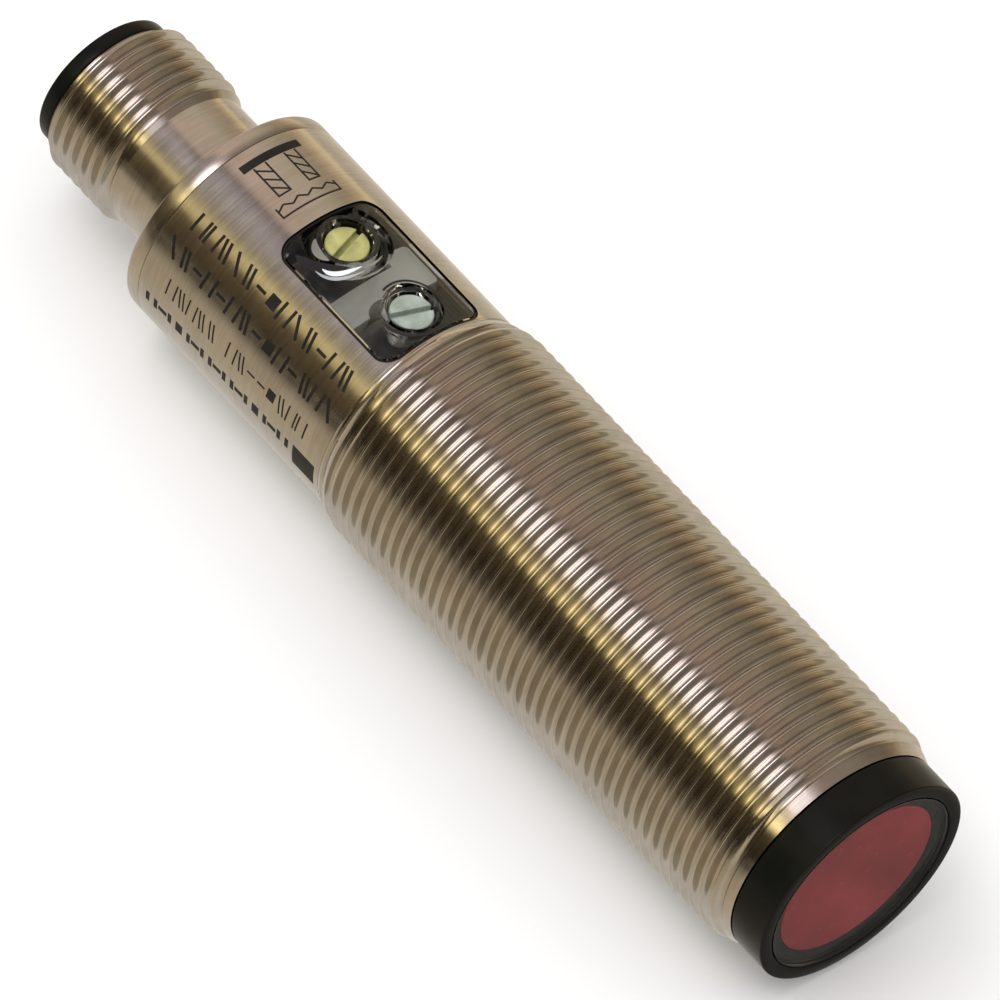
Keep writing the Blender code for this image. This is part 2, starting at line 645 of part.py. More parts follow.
def connector_shell():
    """Flange, neck and M12 thread in one turned piece, pressed into the barrel."""
    bm = bmesh.new()
    stations = [(M12_FRONT, NECK_OUTER_R), (M12_FULL_FRONT, M12_CREST_R),
                (M12_FULL_REAR, M12_CREST_R), (M12_REAR, M12_END_R)]
    turns = int((M12_REAR - M12_FRONT) / PITCH) - 1
    front, rear = thread_skin(bm, M12_FRONT, turns, M12_ROOT_R, M12_CREST_R, stations)
    edge = 0.15 * MM
    flange_edge = 0.3 * MM
    spigot_front = 60.2 * MM
    groove = 62.0 * MM
    half = 0.32 * MM
    groove_r = 6.83 * MM
    insert_bore = INSERT_R + SEAT
    board_bore = 6.3 * MM
    outline = [(M12_REAR, M12_END_R), (M12_REAR, insert_bore), (65.2 * MM, insert_bore),
               (65.2 * MM, board_bore), (spigot_front, board_bore), (spigot_front, SPIGOT_R - edge),
               (spigot_front + edge, SPIGOT_R), (groove - half, SPIGOT_R), (groove - half, groove_r),
               (groove + half, groove_r), (groove + half, SPIGOT_R), (FLANGE_FRONT, SPIGOT_R),
               (FLANGE_FRONT, BODY_R - edge), (FLANGE_FRONT + edge, BODY_R),
               (FLANGE_REAR - flange_edge, BODY_R), (FLANGE_REAR - 0.3 * flange_edge, BODY_R - 0.3 * flange_edge),
               (FLANGE_REAR, BODY_R - flange_edge), (FLANGE_REAR, NECK_OUTER_R)]
    rings = [ring_of(bm, depth, radius) for depth, radius in outline]
    join_rings(bm, [rear] + rings + [front])
    finish("connector_shell", bm, nickel("shell_nickel"))
    seal_ring("rear_seal_ring", groove, 7.1 * MM, 0.22 * MM, soft_seal("rear_seal_rubber"))


def pin_place(number):
    """Place of a contact pin round the axis, 45 degrees off the key."""
    angle = math.radians(45 + 90 * number)
    return PIN_CIRCLE_R * math.cos(angle), PIN_CIRCLE_R * math.sin(angle)


def contacts():
    lip_front = M12_REAR + SEAT
    insert = turned("contact_carrier", [
        (65.9 * MM, 0.0), (65.9 * MM, INSERT_R), (lip_front, INSERT_R), (lip_front, LIP_R),
        (INSERT_REAR - 0.2 * MM, LIP_R), (INSERT_REAR, LIP_R - 0.2 * MM), (INSERT_REAR, RECESS_R),
        (RECESS_FLOOR, RECESS_R), (RECESS_FLOOR, 0.0)], black_plastic("carrier_plastic"))
    key = block("key_adder", (-78.3 * MM, -0.45 * MM, RECESS_R - 0.5 * MM),
                (-(RECESS_FLOOR - 0.5 * MM), 0.45 * MM, RECESS_R + 0.2 * MM), HELPER)
    combine(insert, key, "UNION")
    disc = turned("connector_board", [
        (63.4 * MM, 0.0), (63.4 * MM, 5.9 * MM), (64.2 * MM, 5.9 * MM), (64.2 * MM, 0.0)],
        circuit_board("connector_board_green"))
    gold = material("contact_gold", (0.85, 0.65, 0.30), 0.25, metallic=1.0)
    for number in range(4):
        y, z = pin_place(number)
        hole = rod("pin_hole_cutter_%d" % number, (-60.0 * MM, y, z), (-1, 0, 0), 12.0 * MM, PIN_R + FIT)
        combine(insert, hole, "DIFFERENCE")
        combine(disc, hole, "DIFFERENCE")
        bm = bmesh.new()
        lathe(bm, [(62.6 * MM, 0.0), (62.6 * MM, PIN_R), (PIN_TIP - 0.5 * MM, PIN_R),
                   (PIN_TIP, 0.45 * PIN_R), (PIN_TIP, 0.0)], PIN_STEPS)
        finish("contact_pin_%d" % (number + 1), bm, gold, (0.0, y, z))
    path = [(63.2 * MM, -5.2 * MM), (62.4 * MM, -5.0 * MM), (61.8 * MM, -4.4 * MM), (61.3 * MM, -3.4 * MM),
            (60.6 * MM, -2.5 * MM), (59.6 * MM, -2.2 * MM), (58.0 * MM, -2.15 * MM)]
    ribbon("connector_flex", path, 0.15 * MM, 4.0 * MM, material("connector_flex_amber", (0.55, 0.28, 0.06), 0.4))


# --------------------------------------------------------------------- build
for old in list(bpy.data.objects):
    bpy.data.objects.remove(old, do_unlink=True)

HELPER = material("helper", (1.0, 0.2, 0.2), 0.5)

barrel_housing()
front_ring()
front_optics()
optics_tube()
emitter()
receiver()
main_board()
board_cradle()
adjuster_board()
window_pieces()
adjuster("sensitivity", SENSITIVITY_DEPTH, SENSITIVITY_SLOT, (0.62, 0.62, 0.22))
adjuster("mode", MODE_DEPTH, MODE_SLOT, (0.62, 0.66, 0.62))
connector_shell()
contacts()
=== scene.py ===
import math

import bpy
from mathutils import Matrix, Vector


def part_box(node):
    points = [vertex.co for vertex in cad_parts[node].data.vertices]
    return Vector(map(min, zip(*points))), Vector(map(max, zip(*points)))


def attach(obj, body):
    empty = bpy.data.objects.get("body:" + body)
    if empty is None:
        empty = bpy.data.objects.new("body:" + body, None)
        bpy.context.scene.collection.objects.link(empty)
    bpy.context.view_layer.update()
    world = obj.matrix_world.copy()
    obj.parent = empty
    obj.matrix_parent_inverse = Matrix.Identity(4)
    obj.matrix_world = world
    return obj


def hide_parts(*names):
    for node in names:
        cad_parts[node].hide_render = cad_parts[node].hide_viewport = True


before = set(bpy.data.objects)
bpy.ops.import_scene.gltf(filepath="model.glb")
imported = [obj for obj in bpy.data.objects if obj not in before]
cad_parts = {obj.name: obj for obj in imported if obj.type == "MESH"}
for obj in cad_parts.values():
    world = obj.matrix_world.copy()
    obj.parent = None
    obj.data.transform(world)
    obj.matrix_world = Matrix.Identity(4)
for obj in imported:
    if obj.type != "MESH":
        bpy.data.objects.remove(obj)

bl_info = {
    "name": "Photoelectric sensor, M18",
    "version": (1, 0, 0),
    "blender": (4, 5, 0),
    "location": "3D View > Sidebar > Sensor",
    "description": "Builds the finished look of an M18 photoelectric sensor on its CAD frame",
    "category": "Object",
}

MM = 0.001
WELD = 0.0005 * MM              # points closer than this are one point

# Places along the barrel are depths behind the sensing face: depth d is x = -d.
barrel_low, barrel_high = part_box("barrel_housing")
shell_low, shell_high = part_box("connector_shell")
carrier_low, carrier_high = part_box("contact_carrier")
ring_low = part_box("front_ring")[0]
pane_low, pane_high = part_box("front_window")
filter_low, filter_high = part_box("polarising_filter")
gasket_low, gasket_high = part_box("window_gasket")
cover_low, cover_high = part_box("window_cover")
rotor_low, rotor_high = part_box("sensitivity_rotor")
switch_low, switch_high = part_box("mode_rotor")
pin_low, pin_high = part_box("contact_pin_1")

FIT = 0.06 * MM                 # clearance between neighbours, sideways
SEAT = 0.10 * MM                # clearance between neighbours, along the barrel
EDGE = 0.05 * MM                # width of a broken edge

# M18 barrel
CREST_R = barrel_high.y
ROOT_R = 8.387 * MM
PITCH = 1.0 * MM
THREAD_FRONT = -barrel_high.x
THREAD_FRONT_R = 8.3 * MM
FULL_FRONT = 4.9 * MM
FULL_REAR = 43.3 * MM
THREAD_REAR = 45.3 * MM
BODY_R = 8.42 * MM
BODY_REAR = -barrel_low.x
BORE_R = 7.4 * MM
SPIGOT_R = BORE_R - FIT

# sealing grooves in the two spigots
GROOVE_R = 6.83 * MM
GROOVE_HALF = 0.32 * MM
RING_GROOVE = 4.45 * MM
CONNECTOR_GROOVE = 62.0 * MM

# front ring, pane and filter
RING_R = 8.3 * MM
RING_BACK = THREAD_FRONT - SEAT
RING_END = -ring_low.x
PANE_R = pane_high.y
PANE_BACK = -pane_low.x
FILTER_R = filter_high.y
FILTER_FRONT = -filter_high.x
FILTER_BACK = -filter_low.x
RING_BORE_R = 5.9 * MM

# adjuster window
WINDOW_X = (gasket_low.x + gasket_high.x) / 2
WINDOW_LENGTH = gasket_high.x - gasket_low.x + 2 * FIT
WINDOW_WIDTH = gasket_high.y - gasket_low.y + 2 * FIT
WINDOW_CORNER = 1.3 * MM
GASKET_WALL = 0.16 * MM
COVER_BASE = cover_low.z
COVER_FLANGE = COVER_BASE + 0.7 * MM
COVER_R = BODY_R - FIT
BLOCK_TOP = 9.0 * MM            # above the barrel, where the window's pieces are trimmed off
GUIDE_LOW = 3.45 * MM
GUIDE_HIGH = 4.82 * MM
GUIDE_CORNER = 0.35 * MM

# adjusters
SENSITIVITY_X = (rotor_low.x + rotor_high.x) / 2
MODE_X = (switch_low.x + switch_high.x) / 2
HEAD_TOP = rotor_high.z
HEAD_R = (rotor_high.x - rotor_low.x) / 2
NECK_BOTTOM = rotor_low.z
HEAD_BOTTOM = HEAD_TOP - 1.0 * MM
NECK_R = 0.9 * MM
WELL_R = 1.65 * MM
WELL_FLOOR = 6.35 * MM
MOAT_TOP = 8.15 * MM
SLOT_DEPTH = 0.5 * MM
SENSITIVITY_SLOT = -72.0        # slot directions at rest, degrees from +X
MODE_SLOT = 73.0

# M12 connector
FLANGE_FRONT = BODY_REAR + SEAT
FLANGE_REAR = FLANGE_FRONT + 1.2 * MM
CONNECTOR_NECK_R = 5.4 * MM
FLANGE_EDGE = 0.24 * MM
NECK_FILLET = 0.25 * MM
BOARD_ROOM_R = 6.3 * MM
BOARD_ROOM_REAR = 65.2 * MM
M12_FRONT = 70.6 * MM
M12_FULL_FRONT = 71.6 * MM
M12_FULL_REAR = 76.9 * MM
M12_REAR = -shell_low.x
M12_CREST_R = 6.0 * MM
M12_ROOT_R = 5.387 * MM
M12_END_R = 5.35 * MM
INSERT_R = 4.65 * MM
LIP_R = carrier_high.y
RECESS_R = 4.2 * MM
RECESS_FLOOR = 70.3 * MM
INSERT_REAR = -carrier_low.x
PIN_R = (pin_high.y - pin_low.y) / 2
PIN_CIRCLE_R = 2.5 * MM
PIN_TIP = -pin_low.x
PIN_FRONT = -pin_high.x
KEY_HALF = 0.45 * MM
KEY_REAR = 78.3 * MM
KEY_FRONT = RECESS_FLOOR - 0.5 * MM


# ------------------------------------------------------------------ settings
class SensorSizes(bpy.types.PropertyGroup):
    """Sizes that a user of this sensor may change."""

    slot_width: bpy.props.FloatProperty(
        name="Slot width", description="Width of the adjusters' slots",
        default=0.45 * MM, min=0.2 * MM, max=0.8 * MM, unit="LENGTH")
    ink_thickness: bpy.props.FloatProperty(
        name="Ink thickness", description="How far the print stands above the metal",
        default=0.012 * MM, min=0.004 * MM, max=0.05 * MM, unit="LENGTH")
    thread_facets: bpy.props.IntProperty(
        name="Thread facets", description="Facets in one turn of the barrel's thread",
        default=96, min=48, max=160)


class SensorColours(bpy.types.PropertyGroup):
    """Colours that a user of this sensor may change."""

    nickel: bpy.props.FloatVectorProperty(
        name="Nickel", description="Colour of the plated barrel and connector",
        default=(0.56, 0.53, 0.48), subtype="COLOR", min=0.0, max=1.0)
    ring_black: bpy.props.FloatVectorProperty(
        name="Black plastic", description="Colour of the front ring and the contact carrier",
        default=(0.0055, 0.0060, 0.0048), subtype="COLOR", min=0.0, max=1.0)
    filter_red: bpy.props.FloatVectorProperty(
        name="Filter", description="Colour of the red filter behind the front window",
        default=(0.44, 0.063, 0.070), subtype="COLOR", min=0.0, max=1.0)
    sensitivity: bpy.props.FloatVectorProperty(
        name="Sensitivity adjuster", description="Colour of the sensitivity adjuster",
        default=(0.40, 0.39, 0.15), subtype="COLOR", min=0.0, max=1.0)
    mode: bpy.props.FloatVectorProperty(
        name="Mode adjuster", description="Colour of the light or dark adjuster",
        default=(0.31, 0.36, 0.32), subtype="COLOR", min=0.0, max=1.0)
    ink: bpy.props.FloatVectorProperty(
        name="Ink", description="Colour of the print on the barrel",
        default=(0.012, 0.011, 0.010), subtype="COLOR", min=0.0, max=1.0)


class StudioSettings(bpy.types.PropertyGroup):
    """The studio round the sensor."""

    key_power: bpy.props.FloatProperty(
        name="Key light", description="Power of the soft light overhead",
        default=1.6, min=0.0, max=20.0, unit="POWER")
    sky: bpy.props.FloatProperty(
        name="Sky", description="Strength of the even light from all round",
        default=0.92, min=0.0, max=4.0)
    core: bpy.props.FloatProperty(
        name="Light core", description="How much brighter the middle of the soft light looks in the metal",
        default=3.8, min=0.0, max=10.0)
    room: bpy.props.FloatProperty(
        name="Room", description="Strength of what the metal reflects",
        default=1.0, min=0.0, max=4.0)


# ------------------------------------------------------------------ modelling
def clear_selection():
    """Object mode with nothing selected."""
    if bpy.context.object is not None and bpy.context.object.mode != "OBJECT":
        bpy.ops.object.mode_set(mode="OBJECT")
    bpy.ops.object.select_all(action="DESELECT")


def pick(piece):
    """Selects one piece and nothing else."""
    clear_selection()
    piece.select_set(True)
    bpy.context.view_layer.objects.active = piece


def edit_all():
    """Edit mode on the active piece with everything selected."""
    bpy.ops.object.mode_set(mode="EDIT")
    bpy.ops.mesh.select_all(action="SELECT")


def weld():
    """Joins the active piece's points that are in one place."""
    edit_all()
    bpy.ops.mesh.remove_doubles(threshold=WELD)
    bpy.ops.object.mode_set(mode="OBJECT")


def face_out():
    """Turns the active piece's faces outward."""
    edit_all()
    bpy.ops.mesh.normals_make_consistent(inside=False)
    bpy.ops.object.mode_set(mode="OBJECT")


def modify(piece, kind, **settings):
    """Adds a modifier with its settings and applies it."""
    pick(piece)
    bpy.ops.object.modifier_add(type=kind)
    step = piece.modifiers[-1]
    for key, value in settings.items():
        setattr(step, key, value)
    bpy.ops.object.modifier_apply(modifier=step.name)


def drawn_line(name, points):
    """A line of edges through points."""
    clear_selection()
    bpy.ops.mesh.primitive_plane_add(size=MM, location=points[0])
    piece = bpy.context.object
    piece.name = name
    bpy.ops.object.transform_apply(location=True, rotation=True, scale=True)
    edit_all()
    bpy.ops.mesh.merge(type="CENTER")
    for start, end in zip(points, points[1:]):
        bpy.ops.mesh.extrude_vertices_move(TRANSFORM_OT_translate={"value": end - start})
    bpy.ops.object.mode_set(mode="OBJECT")
    return piece


def swept(name, points, steps, angle, centre, axis):
    """The surface that a line through points leaves when it turns about an axis."""
    piece = drawn_line(name, points)
    weld()
    edit_all()
    bpy.ops.mesh.spin(steps=steps, angle=angle, center=centre, axis=axis)
    weld()
    return piece


def turned(name, outline, steps, axis=(-1.0, 0.0, 0.0), out=(0.0, 0.0, 1.0), centre=(0.0, 0.0, 0.0)):
    """A solid turned from (distance, radius) points.

    An outline that starts on the axis also ends on it. Any other is closed on itself
    and makes a ring.
    """
    points = [Vector(centre) + Vector(axis) * distance + Vector(out) * radius
              for distance, radius in outline]
    if outline[0][1] > 0.0:
        points.append(points[0])
    piece = swept(name, points, steps, math.tau, centre, axis)
    face_out()
    return piece


def solid(outline):
    """An outline closed with a point on the axis at both ends."""
    return [(outline[0][0], 0.0), *outline, (outline[-1][0], 0.0)]


def upright(name, outline, steps, x):
    """A solid turned about a line parallel to Z from (height, radius) points."""
    return turned(name, outline, steps, (0.0, 0.0, 1.0), (1.0, 0.0, 0.0), (x, 0.0, 0.0))


def rounded_block(name, low, high, corner, facets=8):
    """A block with its upright edges rounded."""
    low = Vector(low)
    high = Vector(high)
    clear_selection()
    bpy.ops.mesh.primitive_cube_add(size=1.0, location=(low + high) / 2, scale=high - low)
    piece = bpy.context.object
    piece.name = name
    bpy.ops.object.transform_apply(location=True, rotation=True, scale=True)
    bpy.ops.object.mode_set(mode="EDIT")
    bpy.ops.mesh.select_all(action="DESELECT")
    bpy.ops.mesh.select_mode(type="EDGE")
    bpy.ops.object.mode_set(mode="OBJECT")
    for edge in piece.data.edges:
        start, end = (piece.data.vertices[i].co for i in edge.vertices)
        edge.select = abs(start.z - end.z) > 0.5 * (high.z - low.z)
    bpy.ops.object.mode_set(mode="EDIT")
    bpy.ops.mesh.bevel(offset=corner, segments=facets, affect="EDGES")
    bpy.ops.mesh.select_mode(type="VERT")
    bpy.ops.object.mode_set(mode="OBJECT")
    return piece


def combine(piece, helper, operation="DIFFERENCE"):
    """Cuts, joins or trims a piece with a helper, which is used up."""
    modify(piece, "BOOLEAN", operation=operation, solver="MANIFOLD", object=helper)
    bpy.data.objects.remove(helper, do_unlink=True)
    if len(piece.data.polygons) == 0:
        raise RuntimeError(piece.name + " has no faces left")


def eased(piece, width, segments=2, angle=30.0):
    """Rounds a piece's sharp edges."""
    modify(piece, "BEVEL", width=width, segments=segments, limit_method="ANGLE",
           angle_limit=math.radians(angle))


def trimmed(piece, x, side):
    """Cuts a piece off flat at x, on the side given by the sign, and closes it."""
    pick(piece)
    edit_all()
    bpy.ops.mesh.bisect(plane_co=(x, 0.0, 0.0), plane_no=(side, 0.0, 0.0),
                        use_fill=True, clear_outer=True, threshold=0.0001 * MM)
    bpy.ops.object.mode_set(mode="OBJECT")


# Half a turn of the thread, as (share of the pitch from the root, share of the depth):
# a wide round root and a narrow rounded crest.
HALF_THREAD = [(0.0, 0.0), (0.10, 0.06), (0.19, 0.20), (0.27, 0.40), (0.34, 0.63), (0.40, 0.86),
               (0.43, 0.96), (0.46, 0.995), (0.50, 1.0)]
THREAD_SHAPE = HALF_THREAD + [(1.0 - share, rise) for share, rise in reversed(HALF_THREAD[:-1])]


def threaded_rod(name, front, rear, crest_r, root_r, steps):
    """A right-handed threaded rod between two depths, with rounded crests and roots."""
    start = -rear - 1.5 * PITCH
    points = [Vector((start + share * PITCH, 0.0, root_r + rise * (crest_r - root_r)))
              for share, rise in THREAD_SHAPE]
    piece = drawn_line(name, points)
    modify(piece, "SCREW", axis="X", angle=math.tau, screw_offset=PITCH,
           iterations=math.ceil((rear - front) / PITCH) + 3, steps=steps, render_steps=steps,
           use_merge_vertices=False)
    weld()
    trimmed(piece, -front, 1.0)
    trimmed(piece, -rear, -1.0)
    face_out()
    return piece


def smooth(piece, angle=35.0):
    """Smooth shading, sharp where faces meet at more than the angle, with broad faces kept flat."""
    pick(piece)
    bpy.ops.object.shade_smooth_by_angle(angle=math.radians(angle))
    modify(piece, "WEIGHTED_NORMAL", keep_sharp=True)


def hand_over(piece, finish, body="housing", nodes=()):
    """Gives a finished piece its material and body, and hides the frame's pieces that it stands for."""
    piece.data.materials.clear()
    piece.data.materials.append(finish)
    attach(piece, body)
    if nodes:
        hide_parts(*nodes)


# ------------------------------------------------------------------ materials
def node(tree, kind, **values):
    """A node with its settings."""
    made = tree.nodes.new(kind)
    for key, value in values.items():
        setattr(made, key, value)
    return made


def feed(tree, value, socket):
    """Sets a socket to a number, or links another socket to it."""
    if isinstance(value, (int, float)):
        socket.default_value = value
    else:
        tree.links.new(value, socket)


def maths(tree, operation, *values):
    """A Math node's output from sockets or numbers."""
    made = node(tree, "ShaderNodeMath", operation=operation)
    for value, socket in zip(values, made.inputs):
        feed(tree, value, socket)
    return made.outputs[0]


def position(tree, output="Object"):
    """Where the shaded point is, whole and as its X, Y and Z."""
    place = node(tree, "ShaderNodeTexCoord").outputs[output]
    parts = node(tree, "ShaderNodeSeparateXYZ")
    tree.links.new(place, parts.inputs[0])
    return (place, *parts.outputs)


def noise(tree, place, scale, detail):
    """A noise texture's value."""
    made = node(tree, "ShaderNodeTexNoise")
    made.inputs["Detail"].default_value = detail
    feed(tree, scale, made.inputs["Scale"])
    tree.links.new(place, made.inputs["Vector"])
    return made.outputs["Fac"]


def spots(tree, place, scale, radius):
    """A mask of scattered round spots."""
    made = node(tree, "ShaderNodeTexVoronoi")
    feed(tree, scale, made.inputs["Scale"])
    tree.links.new(place, made.inputs["Vector"])
    return maths(tree, "LESS_THAN", made.outputs["Distance"], radius)


def group_of(name, label, default, outputs):
    """A new shader node group with one input, and its input and output nodes."""
    group = bpy.data.node_groups.new(name, "ShaderNodeTree")
    socket = group.interface.new_socket(label, in_out="INPUT", socket_type="NodeSocketFloat")
    socket.default_value = default
    for output in outputs:
        group.interface.new_socket(output, in_out="OUTPUT", socket_type="NodeSocketFloat")
    return group, node(group, "NodeGroupInput").outputs[0], node(group, "NodeGroupOutput").inputs


def turning_marks():
    """Fine rings left by the lathe on round pieces about the X axis, and their end faces."""
    name = "Turning marks"
    if name in bpy.data.node_groups:
        return bpy.data.node_groups[name]
    group, marks, result = group_of(name, "Marks per metre", 6000.0, ["Height", "Streaks", "Smudges"])
    place, x, y, z = position(group)
    radius = maths(group, "SQRT", maths(group, "ADD", maths(group, "MULTIPLY", y, y),
                                        maths(group, "MULTIPLY", z, z)))
    travel = maths(group, "MULTIPLY", maths(group, "ADD", x, radius), marks)
    for share, label, slow in ((1.0, "Height", 260.0), (0.22, "Streaks", 420.0)):
        line = node(group, "ShaderNodeCombineXYZ")
        for socket, value, scale in zip(line.inputs, (travel, y, z), (share, slow, slow)):
            group.links.new(maths(group, "MULTIPLY", value, scale), socket)
        group.links.new(noise(group, line.outputs[0], 1.0, 3.0), result[label])
    group.links.new(noise(group, place, 420.0, 4.0), result["Smudges"])
    return group


def moulded_grain():
    """Fine grain, slow patches and specks of moulded plastic and rubber."""
    name = "Moulded grain"
    if name in bpy.data.node_groups:
        return bpy.data.node_groups[name]
    group, grain, result = group_of(name, "Grain per metre", 9000.0, ["Height", "Patches", "Specks"])
    place = position(group)[0]
    for share, label, detail in ((1.0, "Height", 2.0), (0.06, "Patches", 3.0)):
        scale = maths(group, "MULTIPLY", grain, share)
        group.links.new(noise(group, place, scale, detail), result[label])
    group.links.new(spots(group, place, maths(group, "MULTIPLY", grain, 0.25), 0.16), result["Specks"])
    return group


def blank(name):
    """A material with its tree, its Principled shader and nothing else."""
    made = bpy.data.materials.new(name)
    made.use_nodes = True
    return made, made.node_tree, made.node_tree.nodes["Principled BSDF"]


def textured(name, group, scale):
    """A material with its tree and shader, and the outputs of a texture group in it."""
    made, tree, shader = blank(name)
    texture = node(tree, "ShaderNodeGroup", node_tree=group)
    texture.inputs[0].default_value = scale
    return made, tree, shader, texture.outputs


def stepped(tree, mask, stops):
    """A colour from (place, colour) stops along the mask."""
    ramp = node(tree, "ShaderNodeValToRGB")
    marks = ramp.color_ramp.elements
    for mark, (place, colour) in zip((marks[0], marks[1]), (stops[0], stops[-1])):
        mark.position = place
        mark.color = (*colour, 1.0)
    for place, colour in stops[1:-1]:
        marks.new(place).color = (*colour, 1.0)
    tree.links.new(mask, ramp.inputs["Fac"])
    return ramp.outputs["Color"]


def between(tree, mask, first, second, start=0.3, end=0.7):
    """A colour that goes from the first to the second as the mask rises."""
    return stepped(tree, mask, [(start, first), (end, second)])


def mixed(tree, mask, first, second):
    """A colour socket where the mask is 0, and a plain colour where it is 1."""
    mix = node(tree, "ShaderNodeMix", data_type="RGBA")
    tree.links.new(mask, mix.inputs[0])
    tree.links.new(first, mix.inputs[6])
    mix.inputs[7].default_value = (*second, 1.0)
    return mix.outputs[2]


def spread(tree, mask, low, high, start=0.3, end=0.7):
    """A value that goes from low to high as the mask rises."""
    made = node(tree, "ShaderNodeMapRange")
    for label, value in (("From Min", start), ("From Max", end), ("To Min", low), ("To Max", high)):
        made.inputs[label].default_value = value
    tree.links.new(mask, made.inputs["Value"])
    return made.outputs["Result"]


def near(tree, value, centre, inner, outer):
    """A mask that is 1 up to the inner distance from the centre and 0 beyond the outer one."""
    gap = maths(tree, "ABSOLUTE", maths(tree, "SUBTRACT", value, centre))
    return spread(tree, gap, 1.0, 0.0, inner, outer)


def raised(tree, shader, height, distance, strength):
    """A bump from a height."""
    bump = node(tree, "ShaderNodeBump")
    bump.inputs["Distance"].default_value = distance
    bump.inputs["Strength"].default_value = strength
    tree.links.new(height, bump.inputs["Height"])
    tree.links.new(bump.outputs["Normal"], shader.inputs["Normal"])


def shaded(colour, share):
    """A colour made lighter or darker."""
    return tuple(min(1.0, value * share) for value in colour)


def turned_metal(name, colour, roughness=0.13, marks=6000.0, depth=0.0025 * MM, contrast=0.20,
                 plain=None):
    """Turned and plated metal with lathe rings, streaks and faint handling marks.

    Plain gives the two places along X between which the metal is duller, and its rings
    deeper, than on the thread.
    """
    made, tree, shader, texture = textured(name, turning_marks(), marks)
    height = texture["Height"]
    tone = maths(tree, "MULTIPLY_ADD", texture["Smudges"], 0.35,
                 maths(tree, "MULTIPLY_ADD", texture["Streaks"], 0.30,
                       maths(tree, "MULTIPLY", height, 0.35)))
    tree.links.new(between(tree, tone, shaded(colour, 1.0 - contrast), shaded(colour, 1.0 + contrast)),
                   shader.inputs["Base Color"])
    dullness = spread(tree, tone, roughness * 0.75, roughness * 1.35)
    if plain is not None:
        x = position(tree)[1]
        inside = maths(tree, "MULTIPLY", maths(tree, "GREATER_THAN", x, plain[0]),
                       maths(tree, "LESS_THAN", x, plain[1]))
        dullness = maths(tree, "MULTIPLY", dullness, spread(tree, inside, 1.0, 1.3, 0.0, 1.0))
        height = maths(tree, "MULTIPLY", height, spread(tree, inside, 0.15, 1.0, 0.0, 1.0))
    tree.links.new(dullness, shader.inputs["Roughness"])
    shader.inputs["Metallic"].default_value = 1.0
    raised(tree, shader, height, depth, 1.0)
    return made


def moulded(name, colour, roughness=0.4, grain=9000.0, depth=0.004 * MM, contrast=0.15, coat=0.0,
            subsurface=0.0, sheen_level=0.5):
    """Moulded plastic, epoxy or rubber with grain, slow patches and a few lighter specks."""
    made, tree, shader, texture = textured(name, moulded_grain(), grain)
    patches = texture["Patches"]
    base = between(tree, patches, shaded(colour, 1.0 - contrast), shaded(colour, 1.0 + contrast))
    specks = maths(tree, "MULTIPLY", texture["Specks"], 0.35)
    tree.links.new(mixed(tree, specks, base, shaded(colour, 1.6)), shader.inputs["Base Color"])
    tree.links.new(spread(tree, patches, roughness * 0.85, roughness * 1.2), shader.inputs["Roughness"])
    shader.inputs["Coat Weight"].default_value = coat
    shader.inputs["Specular IOR Level"].default_value = sheen_level
    if subsurface > 0.0:
        shader.inputs["Subsurface Weight"].default_value = subsurface
        shader.inputs["Subsurface Radius"].default_value = (0.6, 0.6, 0.4)
        shader.inputs["Subsurface Scale"].default_value = 1.0 * MM
    raised(tree, shader, texture["Height"], depth, 0.6)
    return made


def clear_plastic(name, colour, roughness=0.03, refraction=1.49, grain=700.0, depth=0.002 * MM):
    """Clear moulded plastic or glass with faint flow marks and fine dust."""
    made, tree, shader, texture = textured(name, moulded_grain(), grain)
    patches = texture["Patches"]
    tree.links.new(between(tree, patches, shaded(colour, 0.94), colour), shader.inputs["Base Color"])
    tree.links.new(spread(tree, patches, roughness * 0.6, roughness * 1.6), shader.inputs["Roughness"])
    shader.inputs["Transmission Weight"].default_value = 1.0
    shader.inputs["IOR"].default_value = refraction
    raised(tree, shader, texture["Height"], depth, 0.25)
    return made


def circuit_board(name, mask_colour, trace_colour):
    """Solder mask with the copper tracks showing through it, and tinned pads."""
    made, tree, shader = blank(name)
    place = position(tree)[0]
    tracks = node(tree, "ShaderNodeTexBrick")
    for label, value in (("Scale", 1400.0), ("Mortar Size", 0.012), ("Mortar Smooth", 0.2),
                         ("Color1", (0.0, 0.0, 0.0, 1.0)), ("Color2", (0.12, 0.12, 0.12, 1.0)),
                         ("Mortar", (1.0, 1.0, 1.0, 1.0))):
        tracks.inputs[label].default_value = value
    tree.links.new(place, tracks.inputs["Vector"])
    grey = node(tree, "ShaderNodeRGBToBW")
    tree.links.new(tracks.outputs["Color"], grey.inputs[0])
    copper = grey.outputs[0]
    pads = spots(tree, place, 620.0, 0.17)
    mask = between(tree, copper, mask_colour, trace_colour, 0.05, 0.9)
    tree.links.new(mixed(tree, pads, mask, (0.55, 0.54, 0.50)), shader.inputs["Base Color"])
    tree.links.new(maths(tree, "MULTIPLY", pads, 0.9), shader.inputs["Metallic"])
    tree.links.new(spread(tree, copper, 0.38, 0.28, 0.0, 1.0), shader.inputs["Roughness"])
    raised(tree, shader, maths(tree, "MAXIMUM", copper, pads), 0.02 * MM, 0.6)
    return made


# ------------------------------------------------------------------ pieces
# A rounded edge, as (share along, share in) of its width.
ROUND_EDGE = [(1.0, 0.0), (0.6, 0.09), (0.3, 0.3), (0.09, 0.6), (0.0, 1.0)]


def spigot_groove(middle):
    """The outline of a sealing groove in a spigot."""
    front = middle - GROOVE_HALF
    rear = middle + GROOVE_HALF
    return [(front, SPIGOT_R), (front, GROOVE_R), (rear, GROOVE_R), (rear, SPIGOT_R)]


